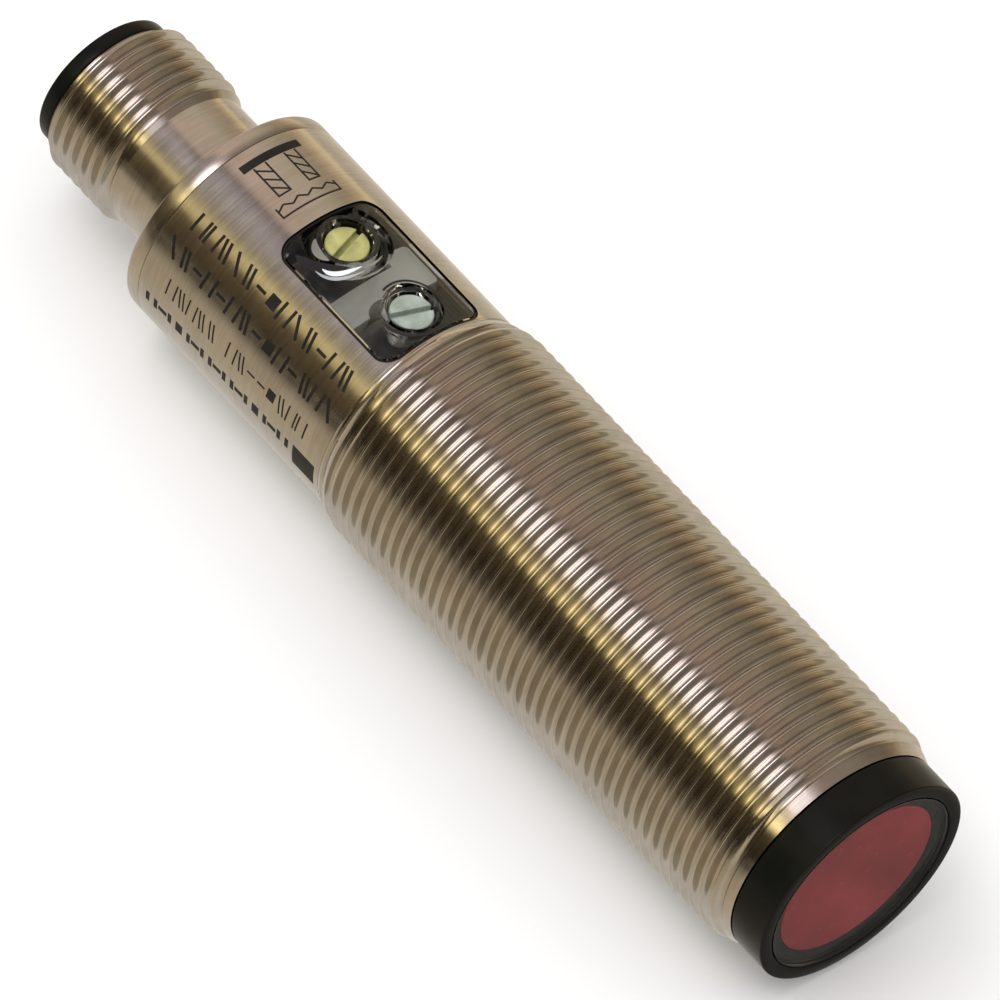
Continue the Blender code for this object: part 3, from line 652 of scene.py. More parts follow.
class SENSOR_OT_barrel(bpy.types.Operator):
    """Turns the nickel-plated barrel with its M18 thread and cuts the adjuster window"""

    bl_idname = "sensor.barrel"
    bl_label = "Barrel"

    def execute(self, context):
        steps = context.scene.sensor_sizes.thread_facets
        spare = 0.3 * MM
        clear_r = CREST_R + 0.1 * MM
        barrel = threaded_rod("barrel", THREAD_FRONT - spare, THREAD_REAR + spare, CREST_R, ROOT_R, steps)
        combine(barrel, turned("barrel_chamfers", solid([
            (THREAD_FRONT, THREAD_FRONT_R), (FULL_FRONT, CREST_R), (FULL_FRONT + spare, clear_r),
            (FULL_REAR - spare, clear_r), (FULL_REAR, CREST_R), (THREAD_REAR, ROOT_R)]), steps),
            "INTERSECT")
        combine(barrel, turned("barrel_body", solid([
            (THREAD_REAR - EDGE, BODY_R), (BODY_REAR - EDGE, BODY_R),
            (BODY_REAR - 0.3 * EDGE, BODY_R - 0.3 * EDGE), (BODY_REAR, BODY_R - EDGE)]), 240), "UNION")
        combine(barrel, turned("barrel_bore", solid([
            (THREAD_FRONT - MM, BORE_R), (BODY_REAR + MM, BORE_R)]), 96))
        half_length = WINDOW_LENGTH / 2
        half_width = WINDOW_WIDTH / 2
        combine(barrel, rounded_block("barrel_window", (WINDOW_X - half_length, -half_width, 2.0 * MM),
                                      (WINDOW_X + half_length, half_width, 10.0 * MM), WINDOW_CORNER))
        smooth(barrel, 50.0)
        finish = turned_metal("barrel_nickel", context.scene.sensor_colours.nickel,
                              plain=(barrel_low.x - MM, -THREAD_REAR))
        hand_over(barrel, finish, nodes=["barrel_housing"])
        return {"FINISHED"}


class SENSOR_OT_connector(bpy.types.Operator):
    """Turns the connector's flange, neck and M12 thread"""

    bl_idname = "sensor.connector"
    bl_label = "Connector"

    def execute(self, context):
        spare = 0.3 * MM
        slight = 0.1 * MM
        clear_r = M12_CREST_R + slight
        shell = threaded_rod("connector", M12_FRONT - spare, M12_REAR + spare, M12_CREST_R, M12_ROOT_R, 96)
        combine(shell, turned("connector_chamfers", solid([
            (M12_FRONT - slight, CONNECTOR_NECK_R - slight), (M12_FULL_FRONT, M12_CREST_R),
            (M12_FULL_FRONT + 2 * slight, clear_r), (M12_FULL_REAR - 2 * slight, clear_r),
            (M12_FULL_REAR, M12_CREST_R), (M12_REAR, M12_END_R)]), 96), "INTERSECT")
        spigot_front = -shell_high.x
        flange_front = BODY_REAR + 0.03 * MM
        rounded = [(FLANGE_REAR - along * FLANGE_EDGE, BODY_R - inward * FLANGE_EDGE)
                   for along, inward in ROUND_EDGE]
        combine(shell, turned("connector_body", solid([
            (spigot_front, SPIGOT_R - EDGE), (spigot_front + EDGE, SPIGOT_R),
            *spigot_groove(CONNECTOR_GROOVE), (flange_front, SPIGOT_R), (flange_front, BODY_R - EDGE),
            (flange_front + 0.3 * EDGE, BODY_R - 0.3 * EDGE), (flange_front + EDGE, BODY_R), *rounded,
            (FLANGE_REAR, CONNECTOR_NECK_R + NECK_FILLET),
            (FLANGE_REAR + 0.3 * NECK_FILLET, CONNECTOR_NECK_R + 0.3 * NECK_FILLET),
            (FLANGE_REAR + NECK_FILLET, CONNECTOR_NECK_R), (M12_FRONT + EDGE, CONNECTOR_NECK_R)]), 192),
            "UNION")
        insert_bore = INSERT_R + SEAT
        combine(shell, turned("connector_bore", solid([
            (spigot_front - MM, BOARD_ROOM_R), (BOARD_ROOM_REAR, BOARD_ROOM_R),
            (BOARD_ROOM_REAR, insert_bore), (M12_REAR + MM, insert_bore)]), 96))
        smooth(shell, 50.0)
        finish = turned_metal("connector_nickel", context.scene.sensor_colours.nickel, roughness=0.15,
                              marks=5000.0, depth=0.003 * MM, contrast=0.22, plain=(-M12_FRONT, 0.0))
        hand_over(shell, finish, nodes=["connector_shell"])
        return {"FINISHED"}


class SENSOR_OT_front(bpy.types.Operator):
    """Turns the black front ring, the clear window and the red filter"""

    bl_idname = "sensor.front"
    bl_label = "Front"

    def execute(self, context):
        colours = context.scene.sensor_colours
        rim = PANE_R + FIT
        sill = FILTER_R + FIT
        ledge = PANE_BACK + SEAT
        behind = FILTER_BACK + SEAT
        ring = turned("ring", [
            (0.0, rim), (0.0, RING_R), (RING_BACK, RING_R), (RING_BACK, SPIGOT_R),
            *spigot_groove(RING_GROOVE), (RING_END, SPIGOT_R), (RING_END, RING_BORE_R),
            (behind, RING_BORE_R), (behind, sill), (ledge, sill), (ledge, rim)], 240)
        eased(ring, 0.10 * MM, 3)
        smooth(ring)
        black = moulded("ring_black", colours.ring_black, 0.24, 5000.0, 0.003 * MM, 0.25, sheen_level=0.12)
        hand_over(ring, black, nodes=["front_ring"])

        pane = turned("pane", solid([(0.0, PANE_R), (PANE_BACK, PANE_R)]), 240)
        eased(pane, 0.08 * MM)
        smooth(pane)
        clear = clear_plastic("pane_clear", (0.95, 0.95, 0.95), 0.03, 1.18, 1500.0)
        hand_over(pane, clear, nodes=["front_window"])

        sheet = turned("filter", solid([(FILTER_FRONT, FILTER_R), (FILTER_BACK, FILTER_R)]), 192)
        eased(sheet, EDGE)
        smooth(sheet)
        red = moulded("filter_red", colours.filter_red, 0.6, 3000.0, 0.001 * MM, 0.20, sheen_level=0.1)
        hand_over(sheet, red, nodes=["polarising_filter"])
        return {"FINISHED"}


def window_block(name, inset, bottom, top):
    """A block that fills the adjuster window but for a gap all round."""
    half_length = WINDOW_LENGTH / 2 - inset
    half_width = WINDOW_WIDTH / 2 - inset
    return rounded_block(name, (WINDOW_X - half_length, -half_width, bottom),
                         (WINDOW_X + half_length, half_width, top), WINDOW_CORNER - inset)


def trim_round(piece, radius):
    """Trims a piece in the adjuster window to a radius about the barrel's axis."""
    front = -WINDOW_X - WINDOW_LENGTH
    rear = -WINDOW_X + WINDOW_LENGTH
    combine(piece, turned("trim", solid([(front, radius), (rear, radius)]), 360), "INTERSECT")


def guide_block(name, left, right, low_y, high_y):
    """A block of the light guide, with its ends given in millimetres from the window's middle."""
    return rounded_block(name, (WINDOW_X + left * MM, low_y * MM, GUIDE_LOW),
                         (WINDOW_X + right * MM, high_y * MM, GUIDE_HIGH), GUIDE_CORNER, 4)


class SENSOR_OT_adjuster_window(bpy.types.Operator):
    """Builds the gasket, the clear cover with its two wells and the light guide below it"""

    bl_idname = "sensor.adjuster_window"
    bl_label = "Adjuster window"

    def execute(self, context):
        foot = COVER_FLANGE + FIT
        gasket = window_block("gasket", FIT, foot, BLOCK_TOP)
        combine(gasket, window_block("gasket_opening", FIT + GASKET_WALL, foot - MM, BLOCK_TOP + MM))
        trim_round(gasket, BODY_R - 0.12 * MM)
        eased(gasket, EDGE, angle=50.0)
        smooth(gasket, 40.0)
        rubber = moulded("gasket_rubber", (0.005, 0.005, 0.005), 0.35, 7000.0, sheen_level=0.25)
        hand_over(gasket, rubber, nodes=["window_gasket"])

        cover = window_block("cover", GASKET_WALL + 2 * FIT, COVER_FLANGE - 0.1 * MM, BLOCK_TOP)
        combine(cover, rounded_block("cover_flange", cover_low, (cover_high.x, cover_high.y, COVER_FLANGE),
                                     WINDOW_CORNER), "UNION")
        trim_round(cover, COVER_R)
        for name, x, collar, moat, drop in (("sensitivity", SENSITIVITY_X, 2.10 * MM, 3.05 * MM, 0.75 * MM),
                                            ("mode", MODE_X, 1.80 * MM, 2.08 * MM, 0.45 * MM)):
            combine(cover, upright(name + "_well", solid([
                (WELL_FLOOR, WELL_R - 0.1 * MM), (WELL_FLOOR + 0.1 * MM, WELL_R),
                (HEAD_TOP + 0.05 * MM, WELL_R), (HEAD_TOP + 0.2 * MM, WELL_R + 0.06 * MM),
                (8.5 * MM, WELL_R + 0.25 * MM)]), 96, x))
            span = moat - collar
            # the moat's bed, as (share of its depth, share of its width)
            bed = [(MOAT_TOP - down * drop, collar + out * span) for down, out in (
                (0.0, 0.0), (0.25, 0.12), (0.6, 0.34), (0.9, 0.52), (1.0, 0.70), (0.8, 0.88), (0.0, 1.0))]
            combine(cover, upright(name + "_moat", [
                (BLOCK_TOP, collar - 0.1 * span), *bed, (BLOCK_TOP, moat + 0.1 * span)], 96, x))
            combine(cover, upright(name + "_neck_hole", solid([
                (4.0 * MM, NECK_R + FIT), (7.0 * MM, NECK_R + FIT)]), 48, x))
        smooth(cover)
        hand_over(cover, clear_plastic("cover_clear", (0.88, 0.89, 0.86), 0.02, 1.42),
                  nodes=["window_cover"])

        guide = guide_block("light_guide", -1.35, 1.1, -3.9, 3.9)
        for low_y, high_y in ((-3.9, -2.2), (2.2, 3.9)):
            combine(guide, guide_block("guide_wing", -2.4, 0.5, low_y, high_y), "UNION")
        combine(guide, upright("guide_waist", solid([(3.0 * MM, MM), (5.2 * MM, MM)]), 48,
                               WINDOW_X + 1.3 * MM))
        eased(guide, 0.10 * MM, angle=50.0)
        smooth(guide, 40.0)
        frosted = moulded("guide_frosted", (0.66, 0.64, 0.60), 0.45, 1500.0, contrast=0.3, subsurface=0.3)
        hand_over(guide, frosted)
        return {"FINISHED"}


class SENSOR_OT_adjusters(bpy.types.Operator):
    """Turns and slots the two adjusters"""

    bl_idname = "sensor.adjusters"
    bl_label = "Adjusters"

    def execute(self, context):
        colours = context.scene.sensor_colours
        width = context.scene.sensor_sizes.slot_width
        for name, x, angle, colour, slot in (
                ("sensitivity", SENSITIVITY_X, SENSITIVITY_SLOT, colours.sensitivity, "rotor_yellow"),
                ("mode", MODE_X, MODE_SLOT, colours.mode, "rotor_grey")):
            rotor = upright(name + "_dial", solid([
                (NECK_BOTTOM, NECK_R), (HEAD_BOTTOM, NECK_R), (HEAD_BOTTOM, HEAD_R),
                (HEAD_TOP, HEAD_R)]), 72, x)
            eased(rotor, 0.13 * MM, 3)
            clear_selection()
            bpy.ops.mesh.primitive_cube_add(size=1.0, scale=(4 * HEAD_R, width, 2 * SLOT_DEPTH))
            cutter = bpy.context.object
            cutter.rotation_euler = (0.0, 0.0, math.radians(angle))
            cutter.location = (x, 0.0, HEAD_TOP)
            bpy.ops.object.transform_apply(location=True, rotation=True, scale=True)
            eased(cutter, 0.10 * MM, 3)
            combine(rotor, cutter)
            eased(rotor, 0.03 * MM, angle=50.0)
            smooth(rotor, 40.0)
            finish = moulded(name + "_plastic", colour, 0.30, 14000.0, 0.006 * MM, 0.30, subsurface=0.35)
            hand_over(rotor, finish, body=name + "_adjuster", nodes=[name + "_rotor"])
        return {"FINISHED"}


class SENSOR_OT_contacts(bpy.types.Operator):
    """Builds the black contact carrier with its key and the four gold pins"""

    bl_idname = "sensor.contacts"
    bl_label = "Contacts"

    def execute(self, context):
        lip_front = M12_REAR + SEAT
        carrier = turned("carrier", solid([
            (-carrier_high.x, INSERT_R), (lip_front, INSERT_R), (lip_front, LIP_R), (INSERT_REAR, LIP_R),
            (INSERT_REAR, RECESS_R), (RECESS_FLOOR, RECESS_R)]), 144)
        eased(carrier, 0.12 * MM, 3)
        key = rounded_block("carrier_key", (-KEY_REAR, -KEY_HALF, RECESS_R - 0.5 * MM),
                            (-KEY_FRONT, KEY_HALF, RECESS_R + 0.2 * MM), 0.15 * MM, 3)
        combine(carrier, key, "UNION")
        gold = turned_metal("contact_gold", (0.83, 0.62, 0.28), 0.20, 9000.0, 0.001 * MM)
        # a pin's rounded tip, as (millimetres from its end, share of its radius)
        tip = [(PIN_TIP - back * MM, share * PIN_R) for back, share in (
            (0.6, 1.0), (0.35, 0.92), (0.12, 0.72), (0.0, 0.4))]
        for number in (1, 2, 3, 4):
            angle = math.radians(90 * number - 45)
            centre = (0.0, PIN_CIRCLE_R * math.cos(angle), PIN_CIRCLE_R * math.sin(angle))
            combine(carrier, turned("pin_hole", solid([
                (60.0 * MM, PIN_R + FIT), (72.0 * MM, PIN_R + FIT)]), 32, centre=centre))
            pin = turned("pin_%d" % number, solid([(PIN_FRONT, PIN_R), *tip]), 40, centre=centre)
            smooth(pin)
            hand_over(pin, gold, nodes=["contact_pin_%d" % number])
        smooth(carrier)
        black = moulded("carrier_black", context.scene.sensor_colours.ring_black, 0.26, 5000.0,
                        0.003 * MM, 0.25, sheen_level=0.12)
        hand_over(carrier, black, nodes=["contact_carrier"])
        return {"FINISHED"}


# ------------------------------------------------------------------ print
# Places along the barrel and line weights are in millimetres, angles in degrees from +Y towards +Z.
PRINT_LIFT = 0.002 * MM         # gap between the print and what it lies on
STROKE_CELL = 0.4               # longest side of a face in a printed line

# The lines of each plain mark, across and up it. They are bars, dashes, slants and blocks,
# and stand for no letters.
MARKS = {
    "d": (((0.0, 0.0), (0.0, 1.0)), ((1.0, 0.0), (1.0, 1.0))),
    "m": (((0.0, 0.5), (1.0, 0.5)),),
    "s": (((0.0, 1.0), (1.0, 0.0)),),
    "w": (((0.0, 1.0), (0.5, 0.0)), ((0.5, 1.0), (1.0, 0.0))),
    "k": (((0.0, 0.5), (1.0, 0.5)),),
    " ": (),
}
MARK_GAP = 0.14                 # bare share at each side of a mark
BLOCK_SHARE = 0.55              # height of a block

# (first, last, low angle, high angle, weight, marks)
ROWS = [(-62.6, -46.3, 129.6, 141.0, 0.23, "ddwswmkdswmdw"),
        (-63.3, -45.9, 146.2, 157.2, 0.23, "swmdmdwmkdmwds"),
        (-61.8, -47.2, 164.3, 174.2, 0.13, "dwdww dwmmkwdd"),
        (-63.3, -48.4, 181.5, 189.5, 0.34, "dmddmdmdmddmd")]

ARC_R = 2.28 * MM
ARC_HALF = 0.09 * MM

# Painted highlights and a painted shadow laid on the clear cover round the sensitivity adjuster,
# as (name, path in millimetres from the adjuster, width, finish).
CRESCENTS = [
    ("painted_highlight_outer", ((0.55, -3.15), (2.45, -3.05), (2.62, -0.70)), 0.24, "pale"),
    ("painted_highlight_inner", ((0.75, -2.75), (2.00, -2.75), (2.25, -0.60)), 0.36, "glint"),
    ("painted_highlight_side", ((2.30, -0.90), (2.70, 0.10), (2.20, 1.10)), 0.16, "faint_painted_highlight"),
    ("well_shadow", ((-1.25, -3.35), (0.75, -3.35), (1.85, -1.35)), 0.75, "shade"),
    ("painted_highlight_collar_side", ((-1.30, -1.70), (-0.55, -2.60), (0.60, -2.05)), 0.55, "faint_painted_highlight")]


def start_print(name):
    """An empty flat print, left in edit mode."""
    clear_selection()
    bpy.ops.mesh.primitive_plane_add(size=MM, location=(0.0, 0.0, 0.0))
    piece = bpy.context.object
    piece.name = name
    edit_all()
    bpy.ops.mesh.delete(type="VERT")
    return piece


def stroke(start, end, weight):
    """One straight printed line in the open print, given in millimetres."""
    a = Vector((*start, 0.0)) * MM
    b = Vector((*end, 0.0)) * MM
    length = (b - a).length
    bpy.ops.mesh.select_all(action="DESELECT")
    bpy.ops.mesh.primitive_grid_add(x_subdivisions=max(1, round(length / (STROKE_CELL * MM))),
                                    y_subdivisions=max(1, round(weight / STROKE_CELL)),
                                    size=1.0, location=(0.0, 0.0, 0.0))
    bpy.ops.transform.resize(value=(length, weight * MM, 1.0), center_override=(0.0, 0.0, 0.0))
    bpy.ops.transform.rotate(value=math.atan2(b.y - a.y, b.x - a.x), orient_axis="Z",
                             center_override=(0.0, 0.0, 0.0))
    bpy.ops.transform.translate(value=(a + b) / 2)


def on_barrel(place):
    """Where a flat print's point goes on the barrel. Its y is the angle times the radius."""
    angle = place.y / BODY_R
    lift = BODY_R + PRINT_LIFT
    return (place.x, lift * math.cos(angle), lift * math.sin(angle))


def on_cover(place):
    """Where a flat print's point goes on the cover's round face, straight above it."""
    lift = COVER_R + PRINT_LIFT
    return (place.x, place.y, math.sqrt(lift * lift - place.y * place.y))


def lay(piece, onto, thickness, ink):
    """Lays a flat print onto a round face, gives it its thickness and hands it over."""
    bpy.ops.object.mode_set(mode="OBJECT")
    for vertex in piece.data.vertices:
        vertex.co = onto(vertex.co)
    pick(piece)
    face_out()
    face = piece.data.polygons[0]
    outward = Vector((0.0, face.center.y, face.center.z))
    modify(piece, "SOLIDIFY", thickness=thickness, offset=1.0 if face.normal.dot(outward) > 0 else -1.0)
    face_out()
    smooth(piece, 40.0)
    hand_over(piece, ink)


def round_place(degrees):
    """Millimetres round the barrel for an angle from +Y towards +Z."""
    return math.radians(degrees) * BODY_R / MM


def mark_row(first, last, low, high, weight, marks):
    """A row of plain marks between two places along the barrel and two angles."""
    height = round_place(high) - round_place(low)
    bottom = round_place(low) + weight / 2
    step = (last - first) / len(marks)
    for index, mark in enumerate(marks):
        left = first + (index + MARK_GAP) * step
        for line in MARKS[mark]:
            start, end = ((left + across * (1.0 - 2 * MARK_GAP) * step, bottom + up * (height - weight))
                          for across, up in line)
            stroke(start, end, BLOCK_SHARE * height if mark == "k" else weight)


def draw_symbol():
    """The function symbol: a bar, two hatched boxes and a toothed strip."""
    weight = 0.13
    stroke((-62.97, round_place(72.0)), (-62.97, round_place(105.6)), 0.62)
    box_left = -62.6
    box_right = -59.9
    for low, high in ((94.0, 100.6), (77.2, 83.3)):
        bottom = round_place(low)
        top = round_place(high)
        for side in (bottom, top):
            stroke((box_left, side), (box_right, side), weight)
        stroke((box_right, bottom - weight / 2), (box_right, top + weight / 2), weight)
        for share in (0.0, 0.33, 0.66):
            x = -62.4 + share * 2.5
            stroke((x, bottom), (x + 0.75, top), weight)
    strip = -58.4
    tooth_near = -58.92
    tooth_far = -59.25
    low = round_place(72.9)
    high = round_place(106.1)
    stroke((strip, low - weight / 2), (strip, high + weight / 2), weight)
    for side in (low, high):
        stroke((strip, side), (tooth_far, side), weight)
    teeth = 8
    step = (high - low) / teeth
    for index in range(teeth):
        here, there = (tooth_far, tooth_near) if index % 2 == 0 else (tooth_near, tooth_far)
        stroke((here, low + index * step), (there, low + (index + 1) * step), weight)


def draw_arc(name, start, sweep):
    """A flat arc round the mode adjuster."""
    angle = math.radians(start)
    out = Vector((math.cos(angle), math.sin(angle), 0.0))
    centre = Vector((MODE_X, 0.0, 0.0))
    return swept(name, [centre + out * (ARC_R - ARC_HALF), centre + out * (ARC_R + ARC_HALF)],
                 24, math.radians(sweep), centre, (0.0, 0.0, 1.0))


def draw_crescent(name, path, width):
    """A flat tapering mark along a curve of three points."""
    clear_selection()
    bpy.ops.mesh.primitive_grid_add(x_subdivisions=28, y_subdivisions=4, size=1.0, location=(0.0, 0.0, 0.0))
    piece = bpy.context.object
    piece.name = name
    start, middle, end = (Vector(point) for point in path)
    for vertex in piece.data.vertices:
        along = 0.01 + 0.98 * (vertex.co.x + 0.5)
        across = vertex.co.y * width * math.sin(math.pi * along) ** 0.7
        place = start * (1 - along) ** 2 + middle * (2 * along * (1 - along)) + end * along ** 2
        heading = ((middle - start) * (1 - along) + (end - middle) * along).normalized()
        vertex.co = (SENSITIVITY_X + (place.x - heading.y * across) * MM,
                     (place.y + heading.x * across) * MM, 0.0)
    return piece


class SENSOR_OT_marks(bpy.types.Operator):
    """Prints the function symbol and plain rows of marks on the barrel and the dial marks, and lays painted
    highlights and a painted shadow on the cover round the sensitivity adjuster
    """

    bl_idname = "sensor.marks"
    bl_label = "Print"

    def execute(self, context):
        thickness = context.scene.sensor_sizes.ink_thickness
        ink = moulded("print_ink", context.scene.sensor_colours.ink, 0.5, 6000.0, 0.002 * MM, 0.3,
                      sheen_level=0.25)
        symbol = start_print("symbol_print")
        draw_symbol()
        lay(symbol, on_barrel, thickness, ink)

        rows = start_print("row_print")
        for row in ROWS:
            mark_row(*row)
        middle = round_place(188.5)
        stroke((-47.9, middle), (-45.7, middle), round_place(195.0) - round_place(182.0))
        lay(rows, on_barrel, thickness, ink)

        dial_ink = moulded("dial_ink", (0.010, 0.010, 0.010), 0.4, 6000.0, 0.002 * MM, 0.2)
        lay(draw_arc("mode_arc_1", 20.0, 110.0), on_cover, thickness, dial_ink)
        lay(draw_arc("mode_arc_2", 200.0, 120.0), on_cover, thickness, dial_ink)
        # painted highlights and painted shade laid on the clear cover round the sensitivity adjuster
        finishes = {
            "glint": moulded("painted_glint_cover", (0.80, 0.84, 0.92), 0.12, 3000.0, 0.001 * MM, 0.12, coat=1.0),
            "pale": moulded("painted_pale_highlight_cover", (0.42, 0.43, 0.46), 0.15, 3000.0, 0.001 * MM, 0.2, coat=1.0),
            "shade": moulded("well_shade", (0.006, 0.006, 0.008), 0.25, 3000.0, 0.001 * MM, 0.12),
            "faint_painted_highlight": moulded("painted_faint_highlight_cover", (0.20, 0.20, 0.165), 0.20, 2500.0, 0.002 * MM, 0.35, coat=0.5),
        }
        for name, path, width, finish in CRESCENTS:
            lay(draw_crescent(name, path, width), on_cover, thickness, finishes[finish])
        corner = start_print("dial_corner")
        x = MODE_X / MM + 0.05
        stroke((x, -2.75), (x, -3.45), 0.16)
        stroke((x, -3.40), (x - 0.80, -3.40), 0.16)
        lay(corner, on_cover, thickness, dial_ink)
        return {"FINISHED"}


# ------------------------------------------------------------------ inside
class SENSOR_OT_inside(bpy.types.Operator):
    """Gives every piece inside the barrel its finish"""

    bl_idname = "sensor.inside"
    bl_label = "Inside"

    def execute(self, context):
        seal = moulded("seal_rubber", (0.018, 0.018, 0.018), 0.6, 8000.0)
        green = circuit_board("board_green", (0.012, 0.045, 0.030), (0.03, 0.11, 0.06))
        film = moulded("flex_amber", (0.50, 0.24, 0.05), 0.35, 2500.0, coat=0.3)
        chip = moulded("chip_epoxy", (0.022, 0.022, 0.024), 0.5, 8000.0)
        finishes = {
            seal: ["front_seal_ring", "rear_seal_ring", "sensitivity_seal", "mode_seal"],
            clear_plastic("lens_clear", (0.92, 0.93, 0.92), 0.01, 1.52): ["objective_lens"],
            moulded("tube_black", (0.010, 0.010, 0.011), 0.65, 7000.0): ["optics_tube"],
            clear_plastic("splitter_glass", (0.80, 0.84, 0.90), 0.01, 1.52): ["beam_splitter"],
            turned_metal("holder_brass", (0.72, 0.52, 0.24), 0.25, 5000.0): ["emitter_holder"],
            turned_metal("diode_can", (0.66, 0.62, 0.52), 0.22, 8000.0): ["emitter_diode"],
            moulded("receiver_epoxy", (0.040, 0.012, 0.014), 0.18, 3000.0, coat=0.5): ["receiver_diode"],
            green: ["receiver_board", "main_board", "adjuster_board", "connector_board"],
            film: ["optics_flex", "connector_flex"],
            moulded("cradle_grey", (0.20, 0.21, 0.22), 0.5, 6000.0): ["board_cradle"],
            chip: ["signal_ic", "driver_ic", "protection_diode"],
            moulded("tantalum_yellow", (0.70, 0.44, 0.06), 0.45, 6000.0): ["buffer_capacitor"],
            moulded("ferrite_grey", (0.07, 0.07, 0.08), 0.7, 9000.0, 0.01 * MM): ["supply_choke"],
            moulded("header_black", (0.015, 0.015, 0.015), 0.45, 6000.0): ["board_header"],
            moulded("pot_body", (0.020, 0.026, 0.030), 0.45, 6000.0): ["sensitivity_pot"],
            moulded("switch_body", (0.030, 0.034, 0.034), 0.45, 6000.0): ["mode_switch"],
            moulded("led_green", (0.08, 0.40, 0.14), 0.2, 3000.0, coat=0.6): ["power_led"],
            moulded("led_yellow", (0.70, 0.50, 0.06), 0.2, 3000.0, coat=0.6): ["output_led"],
        }
        for finish, names in finishes.items():
            for name in names:
                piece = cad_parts[name]
                piece.data.materials.clear()
                piece.data.materials.append(finish)
        return {"FINISHED"}


# ------------------------------------------------------------------ studio
# What the metal reflects, by angle above the +Y side: a warm dim room, the soft light
# overhead with its golden edge, and the dark of the -Y side.
ROOM = [(0.0, (0.62, 0.51, 0.33)), (9.0, (0.40, 0.30, 0.18)), (21.0, (0.26, 0.20, 0.145)),
        (35.0, (0.27, 0.225, 0.165)), (55.0, (0.335, 0.285, 0.225)), (80.0, (0.365, 0.285, 0.235)),
        (91.0, (0.39, 0.295, 0.24)), (98.0, (0.60, 0.50, 0.48)), (105.0, (0.90, 0.79, 0.83)),
        (118.0, (0.98, 0.88, 0.89)), (129.0, (0.78, 0.66, 0.47)), (135.0, (1.12, 0.93, 0.55)),
        (142.0, (2.10, 1.70, 0.86)), (145.0, (1.42, 1.14, 0.54)), (150.0, (0.078, 0.056, 0.029)),
        (175.0, (0.039, 0.029, 0.016)), (180.0, (0.064, 0.049, 0.033))]
# The floor's painted reflection: the glow that glossy rays see in place of its lit colour, by distance
# along Y in millimetres.
PAINTED_FLOOR_REFLECTION = [(-100.0, (0.12, 0.10, 0.07)), (-88.0, (0.17, 0.14, 0.10)), (-60.0, (0.31, 0.25, 0.18)),
         (-39.0, (0.50, 0.42, 0.31)), (-25.0, (0.55, 0.44, 0.31)), (-15.0, (0.60, 0.51, 0.38)),
         (-12.0, (0.63, 0.56, 0.46)), (-9.0, (0.66, 0.62, 0.56)), (9.0, (0.74, 0.70, 0.64)),
         (19.0, (0.775, 0.69, 0.57)), (37.0, (0.71, 0.63, 0.51)), (66.0, (0.65, 0.56, 0.43)),
         (100.0, (0.61, 0.52, 0.39))]

CAMERA_PLACE = (0.371798, -0.487588, 0.755340)
CAMERA_RIGHT = (0.62537241, 0.76471085, 0.15532760)
CAMERA_UP = (-0.66155423, 0.41401110, 0.62525259)
CAMERA_BACK = (0.41383010, -0.49377335, 0.76480882)
CAMERA_LENS = 548.9             # millimetres, on a 36 mm sensor
LIGHT_PLACE = (-0.25, -0.25, 0.62)
LIGHT_AIM = (-0.037, 0.0, 0.0)

# The soft light as the metal sees it: its middle and how far it reaches, in degrees.
CORE_ANGLE = (115.0, 8.0, 15.0)
LAMP_ANGLE = (121.0, 24.0, 30.0)


